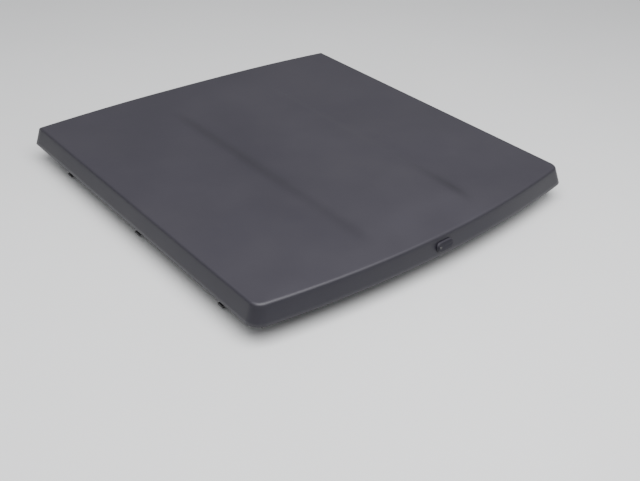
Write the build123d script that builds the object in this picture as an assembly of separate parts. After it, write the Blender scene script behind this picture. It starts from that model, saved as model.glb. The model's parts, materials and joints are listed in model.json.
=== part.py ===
from build123d import *
from math import atan, cos, degrees, radians, sin, sqrt
import os

# Front-hinged hard tonneau cover for a pickup bed, in millimetres.
# +X is the passenger side, +Y the cab, +Z up.
# The origin is the middle of the header's seat on the front wall of the bed.

# lid
lid_width = 1730        # across the skirts' lower edges
lid_side = 1695         # length of a straight side
rear_bow = 75           # how far the rear edge bows out behind its corners
lid_front = 40          # Y of the front face
lid_bottom = 10         # Z of the skirts' lower edge
skirt_height = 78       # lower edge to crease
skirt_lean = 24         # how far a skirt leans in over its height
crown = 22              # rise of the top over the crease
rear_fade = 420         # the crown falls to nothing over this length before the rear crease
corner_radius = 65
skin = 4
field_half = 287        # half width of the raised middle field
field_rise = 5
field_front_gap = 230   # from the front face to the field
field_rear_gap = 100    # from the rear corners to the field
panel_z = 60            # underside of the inner panel
panel_t = 3
frame_z = 26            # underside of the lid's perimeter frame
frame_width = 25
bow_count = 4           # stiffening bows between skin and inner panel

# rails that clamp to the bed
gasket = 2
rail_width = 50
rail_top = 20
rail_wall = 2.5
flange_t = 3
flange_drop = 40
header_rear = -45
rail_inset = 20         # from the skirt's lower edge to the rail's outer face
rail_short = 45         # rail stops this far ahead of the lid's rear corner

# clamps
clamps_per_side = 3
clamp_width = 40
lip_depth = 50          # depth of the bed's rail lip that a clamp grips
bolt_d = 8
header_hole_d = 7
header_hole_count = 4
header_hole_pitch = 300

# hinge
hinge_x = 560
hinge_y = 20
hinge_z = 31
pin_d = 8
open_angle = 25

# struts
strut_lower = (-70, -60)    # Y, Z of the ball on the rail
strut_upper_z = 38
strut_upper_part = 0.32     # its distance behind the hinge as a share of the side
ball_d = 10
linkage_slack = 1.8         # room in the upper socket: its strut follows a straight-line law
socket_shift = (0.92, 1.5)  # Y, Z of the upper socket's centre from its ball at rest, which halves that room
cylinder_d = 18
rod_d = 8
rod_showing = 70

# latches and lock
latch_back = 95         # from the rear corners forward to the claws
striker_d = 8
claw_turn = 45
lock_turn = 70
lock_z = 46
crank_r = 16
claw_arm = 24
drive_pin_d = 5
slot_slack = 0.35       # beside a drive pin in its slot
escutcheon = (90, 40)
cover_turn = 80

# fits
run_fit = 0.05          # radial, between turning parts
slide_fit = 0.3         # between sliding flats
part_gap = 0.3          # between parts of different bodies that only rest

half = lid_width / 2
side_rear = lid_front - lid_side
rear = side_rear - rear_bow
lean = degrees(atan(skirt_lean / skirt_height))
crease_z = lid_bottom + skirt_height
rail_out = half - rail_inset
rail_in = rail_out - rail_width
rail_rear = side_rear + rail_short
frame_out = half - rail_inset - 5
frame_top = panel_z
seal_mid = frame_out - frame_width / 2
strut_x = rail_in - 43
strut_upper_y = hinge_y - strut_upper_part * lid_side
latch_y = side_rear + latch_back
striker_x = rail_in - 17
striker_z = 8
claw_x = striker_x - 16
claw_z = lock_z - (claw_arm + claw_arm * cos(radians(claw_turn / 2))) / 2
push_travel = 2 * crank_r * sin(radians(lock_turn / 2))
bar_t = 3.5
claw_t = 4


def box(x, y, z):
    return Pos((x[0] + x[1]) / 2, (y[0] + y[1]) / 2, (z[0] + z[1]) / 2) * Box(
        abs(x[1] - x[0]), abs(y[1] - y[0]), abs(z[1] - z[0]))


def rod_x(x, y, z, r):
    return Pos((x[0] + x[1]) / 2, y, z) * Rot(0, 90, 0) * Cylinder(r, abs(x[1] - x[0]))


def rod_y(x, y, z, r):
    return Pos(x, (y[0] + y[1]) / 2, z) * Rot(90, 0, 0) * Cylinder(r, abs(y[1] - y[0]))


def rod_z(x, y, z, r):
    return Pos(x, y, (z[0] + z[1]) / 2) * Cylinder(r, abs(z[1] - z[0]))


def hex_x(x, y, z, across):
    width = abs(x[1] - x[0])
    flat = extrude(Plane.YZ * RegularPolygon(across / 2, 6, major_radius=False), width)
    return Pos(min(x), y, z) * flat


def hex_y(x, y, z, across):
    width = abs(y[1] - y[0])
    flat = extrude(Plane.XZ * RegularPolygon(across / 2, 6, major_radius=False), width)
    return Pos(x, max(y), z) * flat


def hex_z(x, y, z, across):
    width = abs(z[1] - z[0])
    return Pos(x, y, min(z)) * extrude(RegularPolygon(across / 2, 6, major_radius=False), width)


def solids_of(shape):
    if isinstance(shape, (list, tuple)):
        found = []
        for s in shape:
            found += solids_of(s)
        return found
    return list(shape.solids())


def export(name, shapes):
    found = solids_of(shapes)
    shape = found[0] if len(found) == 1 else Compound(children=found)
    shape.label = name
    export_step(shape, f"parts/{name}.step")


def mirrored(shape):
    return mirror(shape, about=Plane.YZ)


def both(shape):
    return [shape, mirrored(shape)]


# plan outline of the lid at the skirts' lower edge, drawn in by inset
def outline(inset, front):
    w = half - inset
    side = side_rear + inset
    edge = Polyline((w, side), (w, front), (-w, front), (-w, side))
    arc = ThreePointArc((-w, side), (0, side - rear_bow), (w, side))
    face = make_face(edge.edges() + arc.edges())
    corners = face.vertices().group_by(Axis.Y)[0]
    return fillet(corners, corner_radius - inset)


# everything below the crowned top, lowered by drop
def under_crown(drop, floor):
    w = half + 100
    crease = half - skirt_lean
    fall = crown * (w / crease) ** 2
    top = crease_z + crown - drop
    arc = ThreePointArc((-w, top - fall), (0, top), (w, top - fall))
    legs = Polyline((w, top - fall), (w, floor), (-w, floor), (-w, top - fall))
    profile = Plane.XZ * make_face(arc.edges() + legs.edges())
    crowned = Pos(0, lid_front + 200, 0) * extrude(profile, lid_side + rear_bow + 400)
    return crowned & under_rear_fall(drop, floor)


# everything below the arc that brings the top down to the rear crease
def under_rear_fall(drop, floor):
    top = crease_z + crown - drop
    start = rear + skirt_lean
    bend = (rear_fade ** 2 + crown ** 2) / (2 * crown)
    half_way = start + rear_fade / 2
    middle = top - bend + sqrt(bend ** 2 - (rear_fade / 2) ** 2)
    past = start - 100
    low = top - bend + sqrt(bend ** 2 - (rear_fade + 100) ** 2)
    arc = ThreePointArc((past, low), (half_way, middle), (start + rear_fade, top))
    legs = Polyline((start + rear_fade, top), (lid_front + 200, top), (lid_front + 200, floor),
                    (past, floor), (past, low))
    profile = Plane.YZ * make_face(arc.edges() + legs.edges())
    return Pos(-half - 150, 0, 0) * extrude(profile, 2 * half + 300)


# the lid as a solid block; bottom is its lowest Z
def lid_block(inset, bottom, front_inset=None):
    front = lid_front - (inset if front_inset is None else front_inset)
    tall = crease_z + crown + 10 - lid_bottom
    prism = extrude(Pos(0, 0, lid_bottom) * outline(inset, front + 150), tall, taper=lean)
    if bottom < lid_bottom:
        below = lid_bottom - bottom
        prism += Pos(0, 0, bottom) * extrude(outline(inset, front + 150), below)
    keep = box((-half, half), (rear - 10, front), (bottom, crease_z + crown + 20))
    return prism & under_crown(inset, bottom - 10) & keep


# block for the raised middle field, grow is its growth on every side
def field_block(lift, grow):
    length = lid_side - field_front_gap - field_rear_gap
    middle = lid_front - field_front_gap - length / 2
    plan = RectangleRounded(2 * (field_half + grow), length + 2 * grow, 40)
    slab = Pos(0, middle, crease_z - 20) * extrude(plan, 20 + crown + lift + 5, taper=25)
    return slab & under_crown(-lift, crease_z - 40)


def lid_skin():
    outer = lid_block(0, lid_bottom)
    outer = outer + field_block(field_rise, 12)
    cavity = lid_block(skin, lid_bottom - 5)
    shell = outer - cavity - lock_bore()
    return shell


def perimeter():
    ring = []
    z = (frame_z, frame_top)
    rear_y = side_rear + 40
    for s in (-1, 1):
        ring.append(box((s * (frame_out - frame_width), s * frame_out), (rear_y, 2), z))
    ring.append(box((-frame_out, frame_out), (2 - 36, 2), z))
    body = ring[0] + ring[1] + ring[2]
    band = lid_block(skin + 3, frame_z) - lid_block(skin + 3 + frame_width, frame_z - 5)
    band = band & box((-frame_out, frame_out), (rear - 50, rear_y), z)
    body = body + band
    core = box((-frame_out + 3, frame_out - 3), (-36 + 5, -1), (frame_z + 3, frame_top - 3))
    body = body - core
    for s in (-1, 1):
        inner = (s * (frame_out - frame_width + 3), s * (frame_out - 3))
        body = body - box(inner, (rear_y + 10, -1), (frame_z + 3, frame_top - 3))
    return body - box((-70, 70), (rear - 5, side_rear + 30), (frame_z - 5, frame_top + 5))


def pockets(grow, z):
    cells = []
    span = 2 * (frame_out - frame_width) - 60
    cell = (span - 60) / 2
    start, end = -70, latch_y + 90
    pitch = (end - start) / (bow_count - 1)
    for i in range(bow_count - 1):
        y0 = start + i * pitch - 45
        y1 = start + (i + 1) * pitch + 45
        for s in (-1, 1):
            x0, x1 = s * 40, s * (40 + cell)
            cells.append(box((x0 - s * grow, x1 + s * grow), (y0 + grow, y1 - grow), z))
    return cells


def inner_panel():
    rise = 8
    sheet = lid_block(skin, panel_z) & box((-half, half), (rear, lid_front), (panel_z, panel_z + panel_t))
    for cell in pockets(panel_t, (panel_z + panel_t, panel_z + panel_t + rise)):
        sheet = sheet + cell
    for cell in pockets(0, (panel_z - 1, panel_z + rise)):
        sheet = sheet - cell
    well = box((-80, 80), well_y, (panel_z - 1, panel_z + panel_t + 1))
    return sheet - well


# lifted tray over the lock, so that its crank has room
def lock_well():
    top = lock_z + crank_r + 12
    t = 2
    tray = box((-80 - t, 80 + t), (well_y[0] - t, well_y[1] + t), (panel_z + panel_t, top + t))
    return tray - box((-80, 80), well_y, (panel_z, top))


def bows():
    start, end = -70, latch_y + 90
    pitch = (end - start) / (bow_count - 1)
    inside = lid_block(skin, panel_z)
    under = lid_block(skin + 2, panel_z)
    made = []
    for i in range(bow_count):
        y = start + i * pitch
        low = panel_z + panel_t
        reach = frame_out - frame_width
        web = box((-reach, reach), (y - 30, y + 30), (low, crease_z + crown)) & inside
        core = box((-reach - 5, reach + 5), (y - 28, y + 28), (low - 5, crease_z + crown)) & under
        made.append(web - core)
    return made


def seal():
    z = (rail_top + part_gap, frame_z)
    parts = box((-seal_mid - 6, seal_mid + 6), (-26, -14), z)
    for s in (-1, 1):
        parts = parts + box((s * (seal_mid - 6), s * (seal_mid + 6)), (rail_rear + 10, -14), z)
    return parts


def tailgate_seal():
    z = (2, frame_z)
    band = lid_block(skin + 8, z[0]) - lid_block(skin + 20, z[0] - 5)
    wide = rail_in - 40
    return band & box((-wide, wide), (rear, side_rear + 20), z)


def header_rail():
    z0 = gasket
    outer = box((-rail_out, rail_out), (header_rear, 5), (z0, rail_top))
    inner = box((-rail_out - 1, rail_out + 1), (header_rear + rail_wall, 5 - rail_wall),
                (z0 + rail_wall, rail_top - rail_wall))
    flange = box((-rail_in, rail_in), (header_rear, header_rear + flange_t), (-flange_drop, z0))
    rail = outer - inner + flange
    for s in (-1, 1):
        for x in (rail_in + 15, rail_out - 15):
            rail = rail - rod_y(s * x, (header_rear - 1, header_rear + rail_wall + 1), 11, 2.5)
    for x in header_hole_places():
        rail = rail - rod_y(x, (header_rear - 2, header_rear + flange_t + 2), -28, header_hole_d / 2)
    return rail


def header_hole_places():
    first = -header_hole_pitch * (header_hole_count - 1) / 2
    return [first + i * header_hole_pitch for i in range(header_hole_count)]


def side_rail():
    z0 = gasket
    y = (rail_rear, header_rear)
    outer = box((rail_in, rail_out), y, (z0, rail_top))
    inner = box((rail_in + rail_wall, rail_out - rail_wall), (y[0] - 1, y[1] + 1),
                (z0 + rail_wall, rail_top - rail_wall))
    flange = box((rail_in, rail_in + flange_t), (y[0], y[1]), (-flange_drop, z0))
    rail = outer - inner + flange
    for cy in clamp_places():
        rail = rail - rod_x((rail_in - 2, rail_in + 5), cy, -20, bolt_d / 2)
    return rail


def clamp_places():
    first = header_rear - 160
    last = latch_y + 160
    pitch = (last - first) / (clamps_per_side - 1)
    return [first + i * pitch for i in range(clamps_per_side)]


def gaskets():
    head = box((-rail_out + 2, rail_out - 2), (header_rear + flange_t + 1, 3), (0, gasket))
    side = box((rail_in + flange_t + 1, rail_out - 2), (rail_rear + 2, header_rear - 1), (0, gasket))
    return head, side


def end_caps():
    t = 3
    caps = []
    side = box((rail_in, rail_out), (rail_rear - t, rail_rear), (gasket, rail_top))
    side = side + box((rail_in + rail_wall, rail_out - rail_wall), (rail_rear, rail_rear + 12),
                      (gasket + rail_wall, rail_top - rail_wall))
    caps.append(side)
    head = box((rail_out, rail_out + t), (header_rear, 5), (gasket, rail_top))
    head = head + box((rail_out - 9, rail_out), (header_rear + rail_wall, 5 - rail_wall),
                      (gasket + rail_wall, rail_top - rail_wall))
    caps.append(head)
    return caps


def corner_key():
    y = (header_rear - 40, header_rear)
    key = box((rail_in + rail_wall, rail_out - rail_wall), y,
              (gasket + rail_wall, rail_top - rail_wall))
    screws = []
    for x in (rail_in + 15, rail_out - 15):
        shank = rod_y(x, (header_rear - 25, header_rear + rail_wall), 11, 2.5)
        key = key - rod_y(x, (header_rear - 25, header_rear + 1), 11, 2.5)
        screws.append(shank + rod_y(x, (header_rear + rail_wall, header_rear + rail_wall + 3), 11, 4.5))
    return key, screws


def clamp(y):
    x = rail_in
    plate = box((x - 6, x), (y - clamp_width / 2, y + clamp_width / 2), (-34, 0))
    plate = plate - rod_x((x - 8, x + 2), y, -20, bolt_d / 2)
    jaw_in = x - 11
    leg = box((jaw_in, x - 6), (y - 16, y + 16), (-lip_depth - 10, -2))
    arm = box((jaw_in, x + 36), (y - 16, y + 16), (-lip_depth - 8, -lip_depth))
    pad = box((x + 12, x + 34), (y - 13, y + 13), (-lip_depth, -lip_depth + 2))
    slot = box((jaw_in - 1, x - 5), (y - bolt_d / 2, y + bolt_d / 2), (-34, -14))
    jaw = leg + arm - slot
    shank = rod_x((jaw_in - 2, x + flange_t + 8), y, -20, bolt_d / 2)
    head = hex_x((jaw_in - 7, jaw_in - 2), y, -20, 13)
    washer = rod_x((jaw_in - 2, jaw_in), y, -20, 9) - rod_x((jaw_in - 3, jaw_in + 1), y, -20, bolt_d / 2)
    nut = hex_x((x + flange_t, x + flange_t + 6), y, -20, 13)
    nut = nut - rod_x((x, x + 12), y, -20, bolt_d / 2)
    return plate, jaw, shank + head, washer, nut, pad


def hinge_bracket(x):
    wall = box((x - 34, x + 34), (5, 8), (3, rail_top))
    side = box((x + 12, x + 16), (8, hinge_y), (6, rail_top))
    side = side + box((x + 12, x + 16), (hinge_y - 7, hinge_y + 6), (12, hinge_z))
    side = side + rod_x((x + 12, x + 16), hinge_y, hinge_z, 7)
    ears = side + Pos(-28, 0, 0) * side
    ears = ears - rod_x((x - 20, x + 20), hinge_y, hinge_z, pin_d / 2)
    return wall + ears


def hinge_leaf(x):
    plate = box((x - 34, x + 34), (2, 5), (28, 54))
    web = box((x - 11, x + 11), (5, hinge_y), (hinge_z - 2, hinge_z + 6))
    knuckle = rod_x((x - 11, x + 11), hinge_y, hinge_z, 7)
    leaf = plate + web + knuckle
    return leaf - rod_x((x - 12, x + 12), hinge_y, hinge_z, pin_d / 2 + run_fit)


def hinge_pin(x):
    pin = rod_x((x - 19, x + 19), hinge_y, hinge_z, pin_d / 2)
    head = rod_x((x + 16, x + 19), hinge_y, hinge_z, 6)
    return pin + head


# centres of the lower ball and of the upper socket
def strut_ends():
    return strut_lower, (strut_upper_y + socket_shift[0], strut_upper_z + socket_shift[1])


def along_strut(shape):
    (y0, z0), (y1, z1) = strut_ends()
    tilt = degrees(atan((z1 - z0) / (y0 - y1)))
    return Pos(strut_x, y0, z0) * Rot(-tilt, 0, 0) * shape


def strut_length():
    (y0, z0), (y1, z1) = strut_ends()
    return sqrt((y1 - y0) ** 2 + (z1 - z0) ** 2)


def socket(slack, r):
    gap = ball_d / 2 + slack
    shell = rod_x((-8, 7), 0, 0, r) - Sphere(gap)
    return shell - rod_x((0, 10), 0, 0, gap * 0.86)


# in the strut's own frame: ball at the origin, the far ball at -Y
def strut_cylinder():
    length = strut_length()
    end = -(length - rod_showing - 24)
    tube = rod_y(0, (-16, end), 0, cylinder_d / 2)
    bore = rod_y(0, (-22, end + 6), 0, cylinder_d / 2 - 2)
    gland = rod_y(0, (end, end - 4), 0, cylinder_d / 2)
    hole = rod_y(0, (-22, end - 5), 0, rod_d / 2 + run_fit)
    body = tube + gland - bore - hole
    neck = rod_y(0, (-7, -16), 0, 5)
    end_piece = socket(run_fit, 8.5) + neck - Sphere(ball_d / 2 + run_fit)
    return body, end_piece


def strut_rod():
    length = strut_length()
    reach = 120
    start = -(length - rod_showing - 24) + reach
    rod = rod_y(0, (start, -(length - 16)), 0, rod_d / 2)
    piston = rod_y(0, (start, start + 10), 0, cylinder_d / 2 - 2 - run_fit)
    upper = socket(linkage_slack + part_gap, 11)
    neck = rod_y(0, (8, 16), 0, 6)
    upper = upper + neck - Sphere(ball_d / 2 + linkage_slack + part_gap)
    return rod + piston, Pos(0, -length, 0) * upper


def strut_mounts():
    (y0, z0), (y1, z1) = strut_lower, (strut_upper_y, strut_upper_z)
    lower = box((rail_in - 4, rail_in), (y0 - 24, y0 + 18), (z0 - 14, -2))
    lower_stud = rod_x((strut_x + 3, rail_in - 4), y0, z0, 3) + Pos(strut_x, y0, z0) * Sphere(ball_d / 2)
    lower_stud = lower_stud + hex_x((rail_in - 10, rail_in - 4), y0, z0, 12)
    inner = frame_out - frame_width
    upper = box((inner - 4, inner), (y1 - 25, y1 + 25), (frame_z, 54))
    upper_stud = rod_x((strut_x + 3, inner - 4), y1, z1, 3) + Pos(strut_x, y1, z1) * Sphere(ball_d / 2)
    upper_stud = upper_stud + hex_x((inner - 10, inner - 4), y1, z1, 12)
    return lower, lower_stud, upper, upper_stud


# the claw in its pivot's frame, seen along -Y; the hook opens outward (+X)
def claw():
    r_in = sqrt((striker_x - claw_x) ** 2 + (claw_z - striker_z) ** 2) + striker_d / 2 + 0.5
    r_out = r_in + 7
    ring = rod_y(0, (0, claw_t), 0, r_out) - rod_y(0, (-1, claw_t + 1), 0, r_in)
    wedge = sector(-112, -34, r_out + 5)
    hook = ring & wedge
    spoke = Rot(0, 90 + 14, 0) * box((0, r_in + 2), (0, claw_t), (-5, 5))
    hub = rod_y(0, (0, claw_t), 0, 9)
    arm = Rot(0, -(90 + claw_turn / 2), 0) * box((0, claw_arm), (0, claw_t), (-5, 5))
    tip = pin_place(0)
    eye = Pos(tip[0], 0, tip[1]) * rod_y(0, (0, claw_t), 0, 5)
    drive = Pos(tip[0], 0, tip[1]) * rod_y(0, (-bar_t - 2, 0), 0, drive_pin_d / 2)
    body = hook + spoke + hub + arm + eye + drive
    body = body - rod_y(0, (-1, claw_t + 1), 0, 4 + run_fit)
    return Pos(claw_x, latch_y, claw_z) * body


# wedge between two angles from +X toward +Z, in degrees
def sector(a0, a1, r):
    p = [(0, 0)]
    steps = 6
    for i in range(steps + 1):
        a = radians(a0 + (a1 - a0) * i / steps)
        p.append((2 * r * cos(a), 2 * r * sin(a)))
    face = Plane.XZ * make_face(Polyline(*p, close=True).edges())
    return Pos(0, 30, 0) * extrude(face, 60)


def pin_place(turned):
    a = radians(90 + claw_turn / 2 - turned)
    return claw_arm * cos(a), claw_arm * sin(a)


def latch_plates():
    top = panel_z
    y0, y1 = latch_y - 10, latch_y + claw_t + 6
    x = (claw_x - 22, striker_x + 11)
    plates = []
    for y in (y0 - 3, y1):
        plate = box(x, (y, y + 3), (claw_z - 16, top))
        slot = box((striker_x - 5, striker_x + 5), (y - 1, y + 4), (-30, striker_z))
        slot = slot + rod_y(striker_x, (y - 1, y + 4), striker_z, 5)
        plates.append(plate - slot)
    foot = box(x, (y0 - 15, y1 + 15), (top - 3, top))
    body = plates[0] + plates[1] + foot
    body = body - rod_y(claw_x, (y0 - 5, y1 + 5), claw_z, 4)
    pivot = rod_y(claw_x, (y0 - 5, y1 + 5), claw_z, 4)
    rings = []
    for y in ((y0, latch_y - part_gap), (latch_y + claw_t + part_gap, y1)):
        rings.append(rod_y(claw_x, y, claw_z, 6.5) - rod_y(claw_x, (y[0] - 1, y[1] + 1), claw_z, 4))
    return body, pivot, rings


def striker():
    x0, x1 = rail_in - 4, rail_in
    y0, y1 = latch_y - 24, latch_y + claw_t + 20
    plate = box((x0, x1), (y0 - 14, y1 + 14), (-32, rail_top - 4))
    lugs = []
    for y in (y0, y1 - 4):
        lug = box((striker_x, x0), (y, y + 4), (striker_z - 8, striker_z + 8))
        lug = lug + rod_y(striker_x, (y, y + 4), striker_z, 8)
        lugs.append(lug)
    bracket = plate + lugs[0] + lugs[1] - rod_y(striker_x, (y0 - 1, y1 + 1), striker_z, striker_d / 2)
    pin = rod_y(striker_x, (y0 - 2, y1 + 2), striker_z, striker_d / 2)
    return bracket, pin


# flat push bar from the crank to the right claw; up is 1 for the upper crank pin, -1 for the lower
def push_bar(up):
    y = (latch_y - 1 - bar_t, latch_y - 1)
    crank_x = -crank_r * sin(radians(lock_turn / 2))
    z_pin = lock_z + up * crank_r * cos(radians(lock_turn / 2))
    z_far = lock_z + up * crank_r
    px, pz = claw_x + pin_place(0)[0], claw_z + pin_place(0)[1]
    slot_r = drive_pin_d / 2 + slot_slack
    near = box((crank_x - 7, crank_x + 38), y, (z_pin - up * 5, z_far + up * 5))
    near = near - slotted(crank_x, y, z_pin, z_far, slot_r)
    riser = box((crank_x + 28, crank_x + 38), y, (lock_z - up * 5, z_far + up * 5))
    bar = box((crank_x + 28, px + 7), y, (lock_z - 5, lock_z + 5))
    z_a, z_b = pz, claw_z + claw_arm
    far = box((px - 7, px + 7), y, (z_a - 6, z_b + 6)) - slotted(px, y, z_a, z_b, slot_r)
    bar = bar - box((px - 7, px + 7), y, (lock_z - 8, lock_z + 8)) + far
    return near + riser + bar


def slotted(x, y, z0, z1, r):
    wide = (y[0] - 1, y[1] + 1)
    cut = box((x - r, x + r), wide, (z0, z1))
    return cut + rod_y(x, wide, z0, r) + rod_y(x, wide, z1, r)


def bar_guides():
    y = (latch_y - 1 - bar_t - slide_fit, latch_y - 1 + slide_fit)
    made = []
    for x in (0.25 * claw_x, 0.75 * claw_x):
        outer = box((x - 9, x + 9), (y[0] - 2.5, y[1] + 2.5), (lock_z - 5 - slide_fit - 2.5, panel_z))
        hole = box((x - 10, x + 10), y, (lock_z - 5 - slide_fit, lock_z + 5 + slide_fit))
        made.append(outer - hole)
    return made


def crank():
    disc = rod_y(0, (latch_y, latch_y + claw_t), lock_z, crank_r + 6)
    for s in (-1, 1):
        x = -s * crank_r * sin(radians(lock_turn / 2))
        z = lock_z + s * crank_r * cos(radians(lock_turn / 2))
        disc = disc + rod_y(x, (latch_y - bar_t - 2, latch_y), z, drive_pin_d / 2)
    return disc - box((-4, 4), (latch_y - 5, latch_y + claw_t + 5), (lock_z - 4, lock_z + 4))


bevel_y = side_rear - rear_bow + skirt_lean * (lock_z - lid_bottom) / skirt_height
bevel_plane = Plane(origin=(0, bevel_y, lock_z), x_dir=(1, 0, 0),
                    z_dir=(0, -cos(radians(lean)), sin(radians(lean))))
barrel_r = 10
plate_t = 8
well_y = (bevel_y + 30, latch_y + 14)


# hole for the lock's barrel
def lock_bore():
    return rod_y(0, (rear - 30, bevel_y + 40), lock_z, barrel_r)


def lock_body():
    plate = bevel_plane * extrude(SlotOverall(*escutcheon), plate_t)
    outward = Axis(bevel_plane.origin, bevel_plane.z_dir)
    plate = chamfer(plate.faces().sort_by(outward)[-1].edges(), 1.5)
    sleeve = rod_y(0, (bevel_y + 6, bevel_y + 38), lock_z, barrel_r)
    sleeve = sleeve + (rod_y(0, (bevel_y - 8, bevel_y + 8), lock_z, barrel_r) & deep(plate_t - 1))
    bore = rod_y(0, (rear - 30, bevel_y + 50), lock_z, 7 + run_fit)
    hole = bevel_plane * Pos(-escutcheon[0] / 2 + 14, 0, 0) * Cylinder(2.5, 30)
    return plate + sleeve - bore - hole


def deep(height):
    return bevel_plane * Pos(0, 0, height / 2 - 25) * Box(80, 60, height + 50)


def lock_nut():
    y = (bevel_y + 14, bevel_y + 22)
    nut = hex_y(0, y, lock_z, 26) - rod_y(0, (y[0] - 1, y[1] + 1), lock_z, barrel_r)
    wedge = rod_y(0, (bevel_y - 5, y[0]), lock_z, 13) & lid_block(skin, lid_bottom)
    return nut, wedge - rod_y(0, (bevel_y - 6, y[1]), lock_z, barrel_r)


def key_cylinder():
    face = bevel_y - 5
    body = rod_y(0, (face, bevel_y + 38), lock_z, 7)
    body = body + rod_y(0, (bevel_y + 38 + part_gap, bevel_y + 41), lock_z, 9)
    body = body + rod_y(0, (bevel_y + 38, bevel_y + 41), lock_z, 7)
    slot = box((-1, 1), (face - 1, face + 8), (lock_z - 4, lock_z + 4))
    return body - slot


def spindle():
    return box((-4, 4), (bevel_y + 41, latch_y + claw_t + 4), (lock_z - 4, lock_z + 4))


def keyhole_cover():
    shape = SlotOverall(escutcheon[0] - 4, escutcheon[1] - 4)
    top = bevel_plane * Pos(0, 0, plate_t + part_gap) * extrude(shape, 3)
    pivot = (-escutcheon[0] / 2 + 14, 0, 0)
    cover = top - bevel_plane * Pos(*pivot) * Cylinder(2.5 + run_fit, 60)
    screw = bevel_plane * Pos(pivot[0], 0, 0) * extrude(Circle(2.5), plate_t + 3 + 2 * part_gap)
    head = bevel_plane * Pos(pivot[0], 0, plate_t + 3 + 2 * part_gap) * extrude(Circle(5), 2)
    return cover, screw + head


def lamp():
    y = (latch_y + lid_front) * 0.45
    z = panel_z
    shell = box((-60, 60), (y - 22, y + 22), (z - 16, z))
    shell = shell - box((-56, 56), (y - 18, y + 18), (z - 14, z + 1))
    window = box((-30, 50), (y - 14, y + 14), (z - 17, z - 13))
    shell = shell - window
    lens = box((-30, 50), (y - 14, y + 14), (z - 16, z - 14)) + box(
        (-33, 53), (y - 16, y + 16), (z - 14, z - 12))
    hole = rod_z(-45, y, (z - 20, z - 10), 6 + slide_fit)
    shell = shell - hole
    button = rod_z(-45, y, (z - 19, z - 12), 6) + rod_z(-45, y, (z - 13.7, z - 12), 8)
    return shell, lens, button


# shank and two heads along X, Y or Z; ends are the outer faces of the parts it joins
def rivet(along, at, ends, r=3):
    low, high = min(ends), max(ends)
    shank = along(at, (low, high), r)
    return shank, [along(at, (low - 2, low), r + 2) + shank + along(at, (high, high + 2), r + 2)]


def along_x(at, ends, r):
    return rod_x(ends, at[0], at[1], r)


def along_y(at, ends, r):
    return rod_y(at[0], ends, at[1], r)


def along_z(at, ends, r):
    return rod_z(at[0], at[1], ends, r)


def rivet_sets():
    inner = frame_out - frame_width
    y0, z0 = strut_lower
    striker_y = (latch_y - 31, latch_y + claw_t + 27)
    foot_y = (latch_y - 20, latch_y + claw_t + 16)
    yield ("rail_rivets", ("hinge_brackets", "header_rail"), along_y,
           [((hinge_x + s * 25, 11), (5 - rail_wall, 8)) for s in (-1, 1)])
    yield ("lid_rivets", ("hinge_leaves", "perimeter_frame"), along_y,
           [((hinge_x + s * 25, 41), (-1, 5)) for s in (-1, 1)])
    yield ("rail_rivets", ("strut_rail_brackets", "side_rail_right", "side_rail_left"), along_x,
           [((y0 + dy, z), (rail_in - 4, rail_in + flange_t)) for dy, z in ((-17, -10), (11, -10), (-17, -30))])
    yield ("lid_rivets", ("strut_lid_brackets", "perimeter_frame"), along_x,
           [((strut_upper_y + s * 18, 40), (inner - 4, inner + 3)) for s in (-1, 1)])
    yield ("rail_rivets", ("striker_brackets", "side_rail_right", "side_rail_left"), along_x,
           [((y, -12), (rail_in - 4, rail_in + flange_t)) for y in striker_y])
    yield ("latch_screws", ("latch_frames", "inner_panel"), along_z,
           [((x, y), (panel_z - 3, panel_z + panel_t)) for x in (claw_x - 15, striker_x + 4) for y in foot_y])


# drill every rivet through the parts it joins and add it to its node
def fasten(parts):
    for name, targets, along, places in rivet_sets():
        bodies = []
        for at, ends in places:
            shank, body = rivet(along, at, ends)
            bodies += both(body[0])
            for cut in both(shank):
                for target in targets:
                    parts[target] = [solid - cut for solid in parts[target]]
        parts.setdefault(name, []).extend(bodies)


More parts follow.
